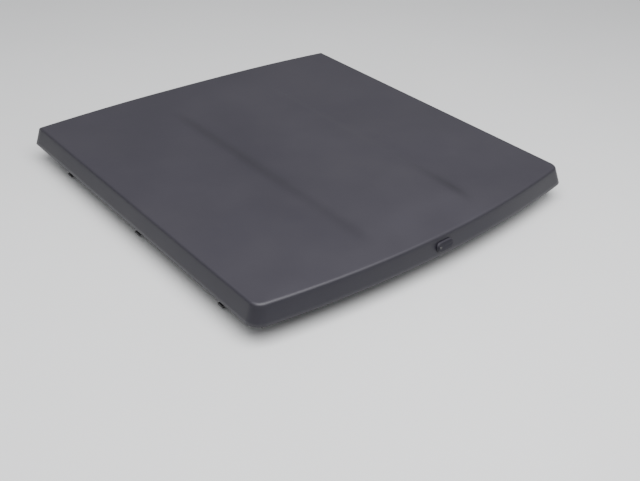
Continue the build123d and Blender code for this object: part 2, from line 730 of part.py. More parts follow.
def build():
    parts = {}

    def save(name, *shapes):
        parts[name] = solids_of(list(shapes))

    save("lid_skin", lid_skin())
    save("inner_panel", inner_panel())
    save("lock_well", lock_well())
    save("stiffening_bows", bows())
    save("perimeter_frame", perimeter())
    save("bulb_seal", seal())
    save("tailgate_seal", tailgate_seal())
    save("header_rail", header_rail())
    save("side_rail_right", side_rail())
    save("side_rail_left", mirrored(side_rail()))
    head, side = gaskets()
    save("header_gasket", head)
    save("side_gaskets", both(side))
    save("rail_end_caps", [c for cap in end_caps() for c in both(cap)])
    key, screws = corner_key()
    save("corner_keys", both(key))
    save("corner_key_screws", [c for screw in screws for c in both(screw)])
    sets = [clamp(y) for y in clamp_places()]
    for i, name in enumerate(("clamp_plates", "clamp_jaws", "clamp_bolts", "clamp_washers",
                              "clamp_nuts", "clamp_pads")):
        save(name, [c for one in sets for c in both(one[i])])
    save("hinge_brackets", both(hinge_bracket(hinge_x)))
    save("hinge_leaves", both(hinge_leaf(hinge_x)))
    save("hinge_pins", both(hinge_pin(hinge_x)))
    low, low_stud, up, up_stud = strut_mounts()
    save("strut_rail_brackets", both(low))
    save("strut_rail_studs", both(low_stud))
    save("strut_lid_brackets", both(up))
    save("strut_lid_studs", both(up_stud))
    tube, tube_end = (along_strut(s) for s in strut_cylinder())
    rod, rod_end = (along_strut(s) for s in strut_rod())
    for side, turn in (("right", lambda s: s), ("left", mirrored)):
        save(f"strut_cylinder_{side}", turn(tube))
        save(f"strut_cylinder_socket_{side}", turn(tube_end))
        save(f"strut_rod_{side}", turn(rod))
        save(f"strut_rod_socket_{side}", turn(rod_end))
    plates, pivot, rings = latch_plates()
    save("latch_frames", both(plates))
    save("latch_pivots", both(pivot))
    save("latch_spacers", [r for ring in rings for r in both(ring)])
    bracket, pin = striker()
    save("striker_brackets", both(bracket))
    save("striker_pins", both(pin))
    save("claw_right", claw())
    save("claw_left", mirrored(claw()))
    save("push_bar_right", push_bar(1))
    save("push_bar_left", mirrored(push_bar(-1)))
    save("bar_guides", [g for guide in bar_guides() for g in both(guide)])
    save("lock_crank", crank())
    save("lock_spindle", spindle())
    save("key_cylinder", key_cylinder())
    save("lock_body", lock_body())
    nut, wedge = lock_nut()
    save("lock_nut", nut)
    save("lock_wedge_washer", wedge)
    cover, screw = keyhole_cover()
    save("keyhole_cover", cover)
    save("cover_screw", screw)
    shell, lens, button = lamp()
    save("lamp_housing", shell)
    save("lamp_lens", lens)
    save("lamp_button", button)
    fasten(parts)
    os.makedirs("parts", exist_ok=True)
    for name, solids in parts.items():
        export(name, solids)


if __name__ == "__main__":
    build()
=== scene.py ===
import json
import math

import bmesh
import bpy
from mathutils import Matrix, Vector


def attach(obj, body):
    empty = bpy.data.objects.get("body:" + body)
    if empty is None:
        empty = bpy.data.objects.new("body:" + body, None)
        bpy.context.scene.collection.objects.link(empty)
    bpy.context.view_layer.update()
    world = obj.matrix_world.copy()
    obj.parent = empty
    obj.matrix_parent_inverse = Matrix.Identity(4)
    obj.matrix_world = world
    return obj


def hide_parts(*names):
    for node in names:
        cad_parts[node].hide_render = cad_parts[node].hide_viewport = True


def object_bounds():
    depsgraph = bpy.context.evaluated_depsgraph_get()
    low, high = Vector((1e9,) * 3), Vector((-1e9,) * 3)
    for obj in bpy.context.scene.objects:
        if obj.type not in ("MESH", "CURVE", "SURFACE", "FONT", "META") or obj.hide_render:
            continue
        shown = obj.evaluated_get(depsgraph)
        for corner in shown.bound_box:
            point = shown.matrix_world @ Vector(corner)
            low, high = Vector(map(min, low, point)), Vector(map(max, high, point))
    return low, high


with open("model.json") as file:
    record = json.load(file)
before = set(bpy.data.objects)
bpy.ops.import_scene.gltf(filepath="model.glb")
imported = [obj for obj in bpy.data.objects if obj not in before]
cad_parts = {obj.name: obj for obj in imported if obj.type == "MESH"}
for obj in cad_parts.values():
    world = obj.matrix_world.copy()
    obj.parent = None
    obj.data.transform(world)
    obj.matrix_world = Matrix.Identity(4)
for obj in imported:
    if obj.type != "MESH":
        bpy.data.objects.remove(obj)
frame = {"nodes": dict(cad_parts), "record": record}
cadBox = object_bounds()
print("frame loaded")


def newObject(name, mesh):
    thing = bpy.data.objects.new(name, mesh)
    bpy.context.scene.collection.objects.link(thing)
    return thing


def shadeSmooth(mesh):
    mesh.polygons.foreach_set("use_smooth", [True] * len(mesh.polygons))


def meshFrom(name, points, faces, smooth=True):
    mesh = bpy.data.meshes.new(name)
    mesh.from_pydata([tuple(p) for p in points], [], faces)
    mesh.validate()
    if smooth:
        shadeSmooth(mesh)
    return newObject(name, mesh)


def smoothStep(t):
    t = min(max(t, 0.0), 1.0)
    return t * t * (3 - 2 * t)


def makeGroup(name, inputs, outputs):
    tree = bpy.data.node_groups.new(name, "ShaderNodeTree")
    for kind, label, default in inputs:
        socket = tree.interface.new_socket(label, in_out="INPUT", socket_type=kind)
        socket.default_value = default
    for kind, label in outputs:
        tree.interface.new_socket(label, in_out="OUTPUT", socket_type=kind)
    return tree, tree.nodes.new("NodeGroupInput"), tree.nodes.new("NodeGroupOutput")


def math2(tree, op, a, b=None, clamp=False):
    node = tree.nodes.new("ShaderNodeMath")
    node.operation = op
    node.use_clamp = clamp
    for i, value in enumerate((a, b)):
        if value is None:
            continue
        if isinstance(value, (int, float)):
            node.inputs[i].default_value = value
        else:
            tree.links.new(value, node.inputs[i])
    return node.outputs[0]


def noise(tree, vector, scale, detail=3.0, roughness=0.55, stretch=None):
    node = tree.nodes.new("ShaderNodeTexNoise")
    node.inputs["Detail"].default_value = detail
    node.inputs["Roughness"].default_value = roughness
    if isinstance(scale, (int, float)):
        node.inputs["Scale"].default_value = scale
    else:
        tree.links.new(scale, node.inputs["Scale"])
    if stretch:
        squeeze = tree.nodes.new("ShaderNodeMapping")
        squeeze.inputs["Scale"].default_value = stretch
        tree.links.new(vector, squeeze.inputs["Vector"])
        vector = squeeze.outputs[0]
    tree.links.new(vector, node.inputs["Vector"])
    return node.outputs["Fac"]


# settled dust and dull patches: a soft mask that is strongest on faces that look up
def dustGroup():
    tree, start, end = makeGroup(
        "settledDust",
        [("NodeSocketVector", "Place", (0, 0, 0)), ("NodeSocketFloat", "Patch size", 5.0),
         ("NodeSocketFloat", "Amount", 0.3)],
        [("NodeSocketFloat", "Mask")])
    soft = noise(tree, start.outputs["Place"], start.outputs["Patch size"], 4)
    fine = noise(tree, start.outputs["Place"], 140, 2)
    geo = tree.nodes.new("ShaderNodeNewGeometry")
    split = tree.nodes.new("ShaderNodeSeparateXYZ")
    tree.links.new(geo.outputs["Normal"], split.inputs[0])
    facing = math2(tree, "MAXIMUM", split.outputs["Z"], 0.15)
    patch = math2(tree, "MULTIPLY", math2(tree, "SUBTRACT", soft, 0.35, True), math2(tree, "ADD", fine, 0.5))
    mask = math2(tree, "MULTIPLY", math2(tree, "MULTIPLY", patch, facing), start.outputs["Amount"])
    tree.links.new(mask, end.inputs["Mask"])
    return tree


# edges rubbed bright: reads the share of edge painted on each piece, broken up by noise
def edgeGroup():
    tree, start, end = makeGroup(
        "rubbedEdges",
        [("NodeSocketVector", "Place", (0, 0, 0)), ("NodeSocketFloat", "Amount", 0.5)],
        [("NodeSocketFloat", "Mask")])
    edge = tree.nodes.new("ShaderNodeAttribute")
    edge.attribute_name = "edgeShare"
    broken = noise(tree, start.outputs["Place"], 90, 4)
    mask = math2(tree, "MULTIPLY", edge.outputs["Fac"], math2(tree, "SUBTRACT", broken, 0.32, True))
    mask = math2(tree, "MULTIPLY", math2(tree, "MULTIPLY", mask, start.outputs["Amount"]), 4.0, True)
    tree.links.new(mask, end.inputs["Mask"])
    return tree


# grain for powder coat and moulded plastic: height and a fine tone
def grainGroup():
    tree, start, end = makeGroup(
        "fineGrain",
        [("NodeSocketVector", "Place", (0, 0, 0)), ("NodeSocketFloat", "Grain", 900.0)],
        [("NodeSocketFloat", "Height"), ("NodeSocketFloat", "Tone")])
    cells = tree.nodes.new("ShaderNodeTexVoronoi")
    cells.feature = "SMOOTH_F1"
    tree.links.new(start.outputs["Place"], cells.inputs["Vector"])
    tree.links.new(start.outputs["Grain"], cells.inputs["Scale"])
    wide = noise(tree, start.outputs["Place"], 14, 4)
    tree.links.new(cells.outputs["Distance"], end.inputs["Height"])
    tree.links.new(wide, end.inputs["Tone"])
    return tree


# clear coat: long soft waves of sprayed lacquer, and flakes under it
def lacquerGroup():
    tree, start, end = makeGroup(
        "sprayedLacquer",
        [("NodeSocketVector", "Place", (0, 0, 0)), ("NodeSocketFloat", "Wave", 170.0),
         ("NodeSocketFloat", "Flake", 2600.0)],
        [("NodeSocketFloat", "Height"), ("NodeSocketFloat", "Sparkle"), ("NodeSocketFloat", "Cloud")])
    wave = noise(tree, start.outputs["Place"], start.outputs["Wave"], 1)
    flake = tree.nodes.new("ShaderNodeTexVoronoi")
    tree.links.new(start.outputs["Place"], flake.inputs["Vector"])
    tree.links.new(start.outputs["Flake"], flake.inputs["Scale"])
    tone = tree.nodes.new("ShaderNodeSeparateColor")
    tree.links.new(flake.outputs["Color"], tone.inputs[0])
    cloud = noise(tree, start.outputs["Place"], 2.2, 2)
    tree.links.new(wave, end.inputs["Height"])
    tree.links.new(tone.outputs[0], end.inputs["Sparkle"])
    tree.links.new(cloud, end.inputs["Cloud"])
    return tree


groups = {"dust": dustGroup(), "edge": edgeGroup(), "grain": grainGroup(), "lacquer": lacquerGroup()}
print("shader groups made")


class Finish:
    def __init__(self, name, metallic=0.0, roughness=0.5, coat=0.0, coatRoughness=0.03, ior=1.5):
        self.material = bpy.data.materials.new(name)
        self.material.use_nodes = True
        self.tree = self.material.node_tree
        self.shader = self.tree.nodes["Principled BSDF"]
        self.shader.inputs["Metallic"].default_value = metallic
        self.shader.inputs["Roughness"].default_value = roughness
        self.shader.inputs["Coat Weight"].default_value = coat
        self.shader.inputs["Coat Roughness"].default_value = coatRoughness
        self.shader.inputs["IOR"].default_value = ior
        self.coordinates = self.tree.nodes.new("ShaderNodeTexCoord")
        self.place = self.coordinates.outputs["Object"]

    def use(self, key, **values):
        node = self.tree.nodes.new("ShaderNodeGroup")
        node.node_tree = groups[key]
        self.tree.links.new(self.place, node.inputs["Place"])
        for label, value in values.items():
            node.inputs[label.replace("_", " ")].default_value = value
        return node.outputs

    def blend(self, share, dark, light):
        mix = self.tree.nodes.new("ShaderNodeMix")
        mix.data_type = "RGBA"
        self.tree.links.new(share, mix.inputs["Factor"])
        for socket, value in ((mix.inputs[6], dark), (mix.inputs[7], light)):
            if isinstance(value, tuple):
                socket.default_value = (*value, 1)
            else:
                self.tree.links.new(value, socket)
        return mix.outputs[2]

    def span(self, share, low, high, fromLow=0.3, fromHigh=0.7):
        node = self.tree.nodes.new("ShaderNodeMapRange")
        for label, value in zip(("From Min", "From Max", "To Min", "To Max"), (fromLow, fromHigh, low, high)):
            node.inputs[label].default_value = value
        self.tree.links.new(share, node.inputs["Value"])
        return node.outputs[0]

    def colour(self, socket):
        self.tree.links.new(socket, self.shader.inputs["Base Color"])

    def rough(self, socket):
        self.tree.links.new(socket, self.shader.inputs["Roughness"])

    def bump(self, height, strength, distance):
        node = self.tree.nodes.new("ShaderNodeBump")
        node.inputs["Strength"].default_value = strength
        node.inputs["Distance"].default_value = distance
        self.tree.links.new(height, node.inputs["Height"])
        self.tree.links.new(node.outputs[0], self.shader.inputs["Normal"])


paintLook = {
    "upright": (0.0100, 0.0090, 0.0158), "open": (0.0400, 0.0370, 0.0490),   # painted shade on the upright sides and painted light on the top, of one and the same paint
    "cloud": 1.12, "metal": 0.15, "rough": (0.44, 0.52), "coatRough": 0.36,
    "waves": 0.02, "waveDepth": 0.0006,
    "flake": (0.10, 0.09, 0.12), "flakeGain": 0.14, "flakeSharpness": 9.0,
    # the dark tone and its share on the next line are painted shade beside the raised field
    "paintedShade": (0.012, 0.011, 0.016), "paintedShadeShare": 0.3, "dust": (0.20, 0.19, 0.19),
}


def bodyPaint(name, coatShare, shine):
    look = paintLook
    f = Finish(name, metallic=look["metal"], coat=coatShare, coatRoughness=look["coatRough"])
    f.shader.inputs["Specular IOR Level"].default_value = shine
    coat = f.use("lacquer")
    # painted light and shade: faces that look up get a paler tone and upright ones a deeper tone, standing in
    # for how the light falls
    normal = f.tree.nodes.new("ShaderNodeSeparateXYZ")
    f.tree.links.new(f.coordinates.outputs["Normal"], normal.inputs[0])
    paintedTopLight = f.span(normal.outputs["Z"], 0, 1, 0.35, 0.97)
    light = f.blend(paintedTopLight, *(tuple(v * look["cloud"] for v in look[side]) for side in ("upright", "open")))
    base = f.blend(f.span(coat["Cloud"], 0, 1), f.blend(paintedTopLight, look["upright"], look["open"]), light)
    flake = math2(f.tree, "POWER", coat["Sparkle"], look["flakeSharpness"])
    lit = f.blend(math2(f.tree, "MULTIPLY", flake, look["flakeGain"]), base, look["flake"])
    # painted shade: darkens the paint along the band stored beside the raised field
    line = f.tree.nodes.new("ShaderNodeAttribute")
    line.attribute_name = "ridgePaintedShade"
    lit = f.blend(math2(f.tree, "MULTIPLY", line.outputs["Fac"], look["paintedShadeShare"]), lit, look["paintedShade"])
    dust = f.use("dust", Patch_size=3.0, Amount=0.10)["Mask"]
    f.colour(f.blend(dust, lit, look["dust"]))
    f.rough(math2(f.tree, "ADD", f.span(coat["Cloud"], *look["rough"]), dust))
    f.bump(coat["Height"], look["waves"], look["waveDepth"])
    return f.material


# what settles on each kind of surface, and what shows where its edges rub through
dustTones = {"coat": (0.32, 0.30, 0.27), "plate": (0.34, 0.31, 0.27), "rubber": (0.22, 0.21, 0.19),
             "moulding": (0.24, 0.23, 0.21), "gloss": (0.25, 0.24, 0.22)}
wornTones = {"coat": (0.42, 0.42, 0.43), "moulding": (0.16, 0.16, 0.165)}


def powderCoat(name, dark, light, grain=1100.0):
    f = Finish(name, metallic=0.0, roughness=0.45)
    g = f.use("grain", Grain=grain)
    base = f.blend(f.span(g["Tone"], 0, 1), dark, light)
    worn = f.use("edge", Amount=0.45)["Mask"]
    dust = f.use("dust", Patch_size=9.0, Amount=0.5)["Mask"]
    f.colour(f.blend(dust, f.blend(worn, base, wornTones["coat"]), dustTones["coat"]))
    f.rough(f.span(g["Tone"], 0.38, 0.56))
    f.bump(g["Height"], 0.35, 0.0003)
    return f.material


def plating(name, dark, light, rough=(0.24, 0.42), metallic=1.0, stretch=(1, 1, 1)):
    f = Finish(name, metallic=metallic, roughness=0.3)
    streak = noise(f.tree, f.place, 260, 3, stretch=stretch)
    cloud = noise(f.tree, f.place, 35, 4)
    dust = f.use("dust", Patch_size=22.0, Amount=0.30)["Mask"]
    base = f.blend(f.span(cloud, 0, 1), dark, light)
    f.colour(f.blend(dust, base, dustTones["plate"]))
    f.rough(math2(f.tree, "ADD", f.span(streak, *rough), math2(f.tree, "MULTIPLY", dust, 0.4)))
    f.bump(streak, 0.06, 0.0002)
    return f.material


def rubber(name, tone, grain=700.0, bump=0.4, dustAmount=0.7):
    f = Finish(name, roughness=0.8)
    g = f.use("grain", Grain=grain)
    dust = f.use("dust", Patch_size=12.0, Amount=dustAmount)["Mask"]
    base = f.blend(f.span(g["Tone"], 0, 1), tone, tuple(c * 1.8 for c in tone))
    f.colour(f.blend(dust, base, dustTones["rubber"]))
    f.rough(f.span(g["Tone"], 0.62, 0.88))
    f.bump(g["Height"], bump, 0.0004)
    return f.material


def foam():
    f = Finish("closedFoam", roughness=0.95)
    cells = f.tree.nodes.new("ShaderNodeTexVoronoi")
    cells.inputs["Scale"].default_value = 1400
    f.tree.links.new(f.place, cells.inputs["Vector"])
    tone = noise(f.tree, f.place, 30, 4)
    f.colour(f.blend(f.span(tone, 0, 1), (0.014, 0.014, 0.015), (0.035, 0.034, 0.034)))
    f.rough(f.span(tone, 0.85, 0.98))
    f.bump(cells.outputs["Distance"], 0.7, 0.0005)
    return f.material


def moulded(name, dark, light, grain=520.0, rough=(0.5, 0.66), bump=0.5):
    f = Finish(name, roughness=0.55)
    g = f.use("grain", Grain=grain)
    worn = f.use("edge", Amount=0.22)["Mask"]
    dust = f.use("dust", Patch_size=7.0, Amount=0.45)["Mask"]
    base = f.blend(f.span(g["Tone"], 0, 1), dark, light)
    f.colour(f.blend(dust, f.blend(worn, base, wornTones["moulding"]), dustTones["moulding"]))
    f.rough(f.span(g["Tone"], *rough))
    f.bump(g["Height"], bump, 0.0004)
    return f.material


def frosted():
    f = Finish("frostedLens", roughness=0.35, ior=1.49)
    ribs = f.tree.nodes.new("ShaderNodeTexWave")
    ribs.inputs["Scale"].default_value = 90
    f.tree.links.new(f.place, ribs.inputs["Vector"])
    tone = noise(f.tree, f.place, 60, 3)
    f.colour(f.blend(f.span(tone, 0, 1), (0.74, 0.76, 0.77), (0.86, 0.88, 0.88)))
    f.shader.inputs["Transmission Weight"].default_value = 0.45
    f.rough(f.span(tone, 0.28, 0.42))
    f.bump(ribs.outputs["Fac"], 0.3, 0.0004)
    return f.material


def gloss(name, dark, light, rough=(0.12, 0.24), metallic=0.0, coat=0.6):
    f = Finish(name, metallic=metallic, roughness=0.2, coat=coat, coatRoughness=0.08)
    tone = noise(f.tree, f.place, 55, 4, stretch=(1, 0.15, 0.15))
    dust = f.use("dust", Patch_size=18.0, Amount=0.5)["Mask"]
    f.colour(f.blend(dust, f.blend(f.span(tone, 0, 1), dark, light), dustTones["gloss"]))
    f.rough(math2(f.tree, "ADD", f.span(tone, *rough), math2(f.tree, "MULTIPLY", dust, 0.5)))
    f.bump(tone, 0.05, 0.0002)
    return f.material


finishes = {
    "paint": bodyPaint("charcoalPaint", 0.22, 0.5),
    "dullPaint": bodyPaint("dullCharcoalPaint", 0.07, 0.32),   # the swinging cover, more weathered
    "inner": moulded("grainedLiner", (0.030, 0.030, 0.032), (0.046, 0.046, 0.048), grain=420.0),
    "frame": powderCoat("blackPowderCoat", (0.020, 0.020, 0.021), (0.034, 0.034, 0.036)),
    "seal": rubber("sealRubber", (0.009, 0.009, 0.010), dustAmount=0.35),
    "gasket": foam(),
    "zinc": plating("zincPlate", (0.50, 0.49, 0.45), (0.66, 0.66, 0.64)),
    "steel_black": powderCoat("blackedSteel", (0.016, 0.016, 0.017), (0.030, 0.030, 0.031), grain=1500.0),
    "cylinder": gloss("blackTube", (0.012, 0.012, 0.013), (0.022, 0.022, 0.024)),
    "rod": plating("polishedRod", (0.62, 0.62, 0.64), (0.78, 0.78, 0.80), rough=(0.07, 0.16),
                   stretch=(1, 0.2, 1)),
    "plastic": moulded("blackMoulding", (0.018, 0.018, 0.019), (0.032, 0.032, 0.033), grain=900.0),
    "lock": plating("satinLock", (0.50, 0.50, 0.52), (0.66, 0.66, 0.68), rough=(0.18, 0.3),
                    stretch=(4, 1, 4)),
    "lens": frosted(),
    "button": moulded("greyButton", (0.30, 0.30, 0.31), (0.38, 0.38, 0.39), grain=1200.0, bump=0.2),
}
print("materials made")

slotOf = {}
for entry in frame["record"]["subparts"]:
    slotOf[entry["node"]] = entry["material_slot"]
bodyOf = {}
for body, nodes in frame["record"]["behaviour"]["bodies"].items():
    for node in nodes:
        bodyOf[node] = body


# pieces whose look is not the plain one of their slot
otherFinish = {"cover_screw": "steel_black", "keyhole_cover": "dullPaint"}


def finishPiece(piece, node):
    piece.data.materials.clear()
    piece.data.materials.append(finishes[otherFinish.get(node, slotOf[node])])


# joins a finished object to its piece of the assembly
def place(thing, node):
    shadeSmooth(thing.data)
    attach(thing, bodyOf[node])
    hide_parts(node)


softening = {
    "default": 0.0006, "clamp_jaws": 0.0010, "header_rail": 0.0008, "side_rail_right": 0.0008,
    "side_rail_left": 0.0008, "perimeter_frame": 0.0010, "rail_end_caps": 0.0008, "lamp_housing": 0.0012,
    "lock_body": 0.0012, "claw_right": 0.0004, "claw_left": 0.0004, "push_bar_right": 0.0004,
    "push_bar_left": 0.0004,
}
softAngles = {"flat": 1.0, "bevelled": 32, "shaded": 38}      # degrees between two faces
mergeGap = 0.000005
# pieces modelled anew further down, and pieces shown as they come
ownMesh = {"lid_skin", "inner_panel", "bulb_seal", "tailgate_seal", "keyhole_cover", "rail_rivets",
           "lid_rivets", "latch_screws", "clamp_bolts", "clamp_washers", "clamp_nuts"}
kept = {"stiffening_bows", "lock_well", "corner_keys", "corner_key_screws", "lock_wedge_washer"}


# a copy of a piece with small bevels; the bevels carry the share of edge that wear reads
def soften(node):
    source = frame["nodes"][node]
    width = softening.get(node, softening["default"])
    mesh = source.data.copy()
    mesh.name = node + "_soft"
    work = bmesh.new()
    work.from_mesh(mesh)
    flat, bevelled, shaded = (math.radians(softAngles[key]) for key in ("flat", "bevelled", "shaded"))
    bmesh.ops.remove_doubles(work, verts=work.verts, dist=mergeGap)
    bmesh.ops.dissolve_limit(work, angle_limit=flat, verts=work.verts, edges=work.edges)
    sharp = [e for e in work.edges if len(e.link_faces) == 2 and e.calc_face_angle(0) > bevelled]
    made = bmesh.ops.bevel(work, geom=sharp, offset=width, offset_type="OFFSET", segments=2, profile=0.5,
                           affect="EDGES", clamp_overlap=True)
    layer = work.loops.layers.float.new("edgeShare")
    for face in made["faces"]:
        for loop in face.loops:
            loop[layer] = 1.0
    bmesh.ops.triangulate(work, faces=[f for f in work.faces if len(f.verts) > 4])
    for edge in work.edges:
        if len(edge.link_faces) == 2:
            edge.smooth = edge.calc_face_angle(0) < shaded
    work.to_mesh(mesh)
    work.free()
    piece = newObject(node + "_soft", mesh)
    finishPiece(piece, node)
    place(piece, node)


for node in frame["nodes"]:
    if node in kept:
        finishPiece(frame["nodes"][node], node)
    elif node not in ownMesh:
        soften(node)
print("hard pieces softened")

cover = {
    "halfWidth": 0.865, "front": 0.040, "sideRear": -1.655, "bow": 0.075,
    "cornerRadius": 0.065, "creaseRadius": 0.046,      # seen from above, at the lower edge and at the crease
    "bottom": 0.010, "skirt": 0.078, "lean": 0.024, "sideLean": 0.029,
    "crown": 0.022, "rearFade": 0.42,          # the crown dies away towards the rear crease
    "fieldHalf": 0.283, "fieldRise": 0.0045, "fieldSlope": 0.034,
    "fieldFrontGap": 0.20, "fieldRearGap": 0.09, "fieldRearFade": 0.12, "fieldEndFade": 0.22,
    "ridgeCentre": 0.279, "ridgeSpread": 0.026, "ridgeShadeDepth": 0.85,   # painted shade beside the field, standing in for the shade at the foot of its slope
    "ridgeEnds": (0.06, 0.20), "rightRidge": (-1.55, -1.15), "rightGain": 1.9,
    "creaseSoft": 0.010, "topRings": (0.004, 0.010, 0.018), "wall": 0.004, "lipRoll": 0.0018,
    "across": 96, "along": 96, "cornerSteps": 10, "creaseSteps": 6, "skirtSteps": 5,
}


# half of an outline, from the middle of the rear to the front right corner: point and outward normal
def outlinePoints(c, w, side, r):
    front, bow = c["front"], c["bow"]
    radius = (w * w + bow * bow) / (2 * bow)
    cy = side - bow + radius                       # centre of the rear arc
    fx = w - r                                     # centre of the corner's fillet
    fy = cy - math.sqrt((radius - r) ** 2 - fx * fx)
    startAngle = math.atan2(fy - cy, fx)           # where the fillet leaves the rear arc
    reach = math.atan2(fx, cy - fy)
    cornerSteps = c["cornerSteps"]
    rearSteps = c["across"] // 2 - cornerSteps
    right = []
    for i in range(rearSteps):
        a = reach * i / rearSteps
        n = Vector((math.sin(a), -math.cos(a)))
        right.append((Vector((0, cy)) + n * radius, n))
    for i in range(cornerSteps * 2):
        a = startAngle * (1 - i / (cornerSteps * 2))
        n = Vector((math.cos(a), math.sin(a)))
        right.append((Vector((fx, fy)) + n * r, n))
    sideSteps = c["along"] - cornerSteps
    for i in range(sideSteps + 1):
        right.append((Vector((w, fy + (front - fy) * i / sideSteps)), Vector((1, 0))))
    return right


# the same cover drawn in on every side but its height
def drawnIn(c, amount):
    inset = dict(c)
    for key in ("halfWidth", "front", "cornerRadius", "creaseRadius"):
        inset[key] -= amount
    inset["sideRear"] += amount
    return inset


# the whole loop: lower point, its step to the crease, and the way in over the top
def ringsOf(c):
    low = outlinePoints(c, c["halfWidth"], c["sideRear"], c["cornerRadius"])
    high = outlinePoints(c, c["halfWidth"] - c["sideLean"], c["sideRear"] + c["lean"], c["creaseRadius"])
    nx, w, front = c["across"], c["halfWidth"], c["front"]
    behind = next(p.y for p, n in low if n.x == 1)
    loop = []
    for (p, n), (q, m) in zip(low, high):
        inward = Vector((-1, -(p.y - behind) / (front - behind))) if n.x == 1 else -n
        loop.append((p, q - p, inward))
    frontRow = []
    for i in range(1, nx):
        x = w * (1 - 2 * i / nx)
        frontRow.append((Vector((x, front)), Vector((-c["sideLean"] * x / w, 0)), Vector((-x / w, -1))))
    flip = lambda v: Vector((-v.x, v.y))
    left = [(flip(p), flip(lean), flip(inward)) for p, lean, inward in reversed(loop[1:])]
    return loop + frontRow + left


# outline of the shell at a height
def outlineAt(c, z):
    share = (z - c["bottom"]) / c["skirt"]
    return [p + lean * share for p, lean, inward in ringsOf(c)]


# how far a place is ahead of the rear crease
def rearGapAt(c, x, y):
    w, bow = c["halfWidth"], c["bow"]
    rear = c["sideRear"] - bow * (1 - (x / w) ** 2) + c["lean"]
    return y - rear


# one wall of the shell, flat on top, lowered by drop; flip turns it to face inwards
def buildShell(c, drop, flip):
    loop = ringsOf(c)
    count = len(loop)
    high = c["bottom"] + c["skirt"] - drop
    points, share, gap = [], [], []
    soft = c["creaseSoft"]
    h = high - c["bottom"]

    def add(p, z, s):
        points.append(Vector((p.x, p.y, z)))
        share.append(s)
        gap.append(rearGapAt(c, p.x, p.y))

    # rows of (share of the skirt height, then the rounded crease, then rings on the top)
    rows = []
    low = c["lipRoll"] / h
    for k in range(c["skirtSteps"] + 1):
        rows.append(("skirt", low + (1 - soft / h - low) * k / c["skirtSteps"]))
    for k in range(1, c["creaseSteps"] + 1):
        rows.append(("crease", k / c["creaseSteps"]))
    rows += [("top", soft + q) for q in c["topRings"]]
    for kind, v in rows:
        for p0, leanVec, inward in loop:
            at = lambda s: p0 + leanVec * (s * h / c["skirt"])
            if kind == "skirt":
                add(at(v), c["bottom"] + v * h, max(v, 0.0) ** 2)
            elif kind == "crease":
                a, b, d = at(1 - soft / h), at(1.0), at(1.0) + inward * soft
                q = a * (1 - v) ** 2 + b * 2 * v * (1 - v) + d * v * v
                z = (high - soft) * (1 - v) ** 2 + high * 2 * v * (1 - v) + high * v * v
                add(q, z, (1 - soft / h) ** 2 + (1 - (1 - soft / h) ** 2) * v)
            else:
                add(at(1.0) + inward * v, high, 1.0)
    faces = []
    for k in range(len(rows) - 1):
        for i in range(count):
            j = (i + 1) % count
            faces.append((k * count + i, k * count + j, (k + 1) * count + j, (k + 1) * count + i))
    # the middle: a patch stretched between the four sides of the last ring
    base = (len(rows) - 1) * count
    nx, ny = c["across"], c["along"]
    halfX = nx // 2

    def ringIndex(i, j):                           # i across from the left, j forward from the rear
        if j == 0 and i >= halfX:
            return i - halfX
        if i == nx:
            return halfX + j
        if j == ny:
            return halfX + ny + (nx - i)
        if i == 0:
            return halfX + ny + nx + (ny - j)
        return (halfX + ny + nx + ny + i) % count

    ids = {}
    for i in range(nx + 1):
        for j in range(ny + 1):
            if i in (0, nx) or j in (0, ny):
                ids[i, j] = base + ringIndex(i, j)
    edge = lambda i, j: points[ids[i, j]]
    for i in range(1, nx):
        for j in range(1, ny):
            u, v = i / nx, j / ny
            p = (edge(i, 0) * (1 - v) + edge(i, ny) * v + edge(0, j) * (1 - u) + edge(nx, j) * u
                 - edge(0, 0) * (1 - u) * (1 - v) - edge(nx, 0) * u * (1 - v)
                 - edge(0, ny) * (1 - u) * v - edge(nx, ny) * u * v)
            ids[i, j] = len(points)
            add(p, high, 1.0)
    for i in range(nx):
        for j in range(ny):
            faces.append((ids[i, j], ids[i + 1, j], ids[i + 1, j + 1], ids[i, j + 1]))
    if flip:
        faces = [tuple(reversed(f)) for f in faces]
    return points, faces, share, gap, count


# a Geometry Nodes tree with its two ends; every tree takes geometry first and the finish last
def newTree(name, inputs):
    tree = bpy.data.node_groups.new(name, "GeometryNodeTree")
    for label, kind in (("Geometry", "Geometry"), *inputs, ("Finish", "Material")):
        tree.interface.new_socket(label, in_out="INPUT", socket_type="NodeSocket" + kind)
    tree.interface.new_socket("Geometry", in_out="OUTPUT", socket_type="NodeSocketGeometry")
    return tree, tree.nodes.new("NodeGroupInput"), tree.nodes.new("NodeGroupOutput")


# makes the links, then ends the tree in real geometry with its finish
def wireTree(tree, start, end, links, shaped):
    real = tree.nodes.new("GeometryNodeRealizeInstances")
    paint = tree.nodes.new("GeometryNodeSetMaterial")
    tail = ((shaped, real.inputs[0]), (real.outputs[0], paint.inputs["Geometry"]),
            (start.outputs["Finish"], paint.inputs["Material"]), (paint.outputs[0], end.inputs["Geometry"]))
    for source, target in (*links, *tail):
        tree.links.new(source, target)


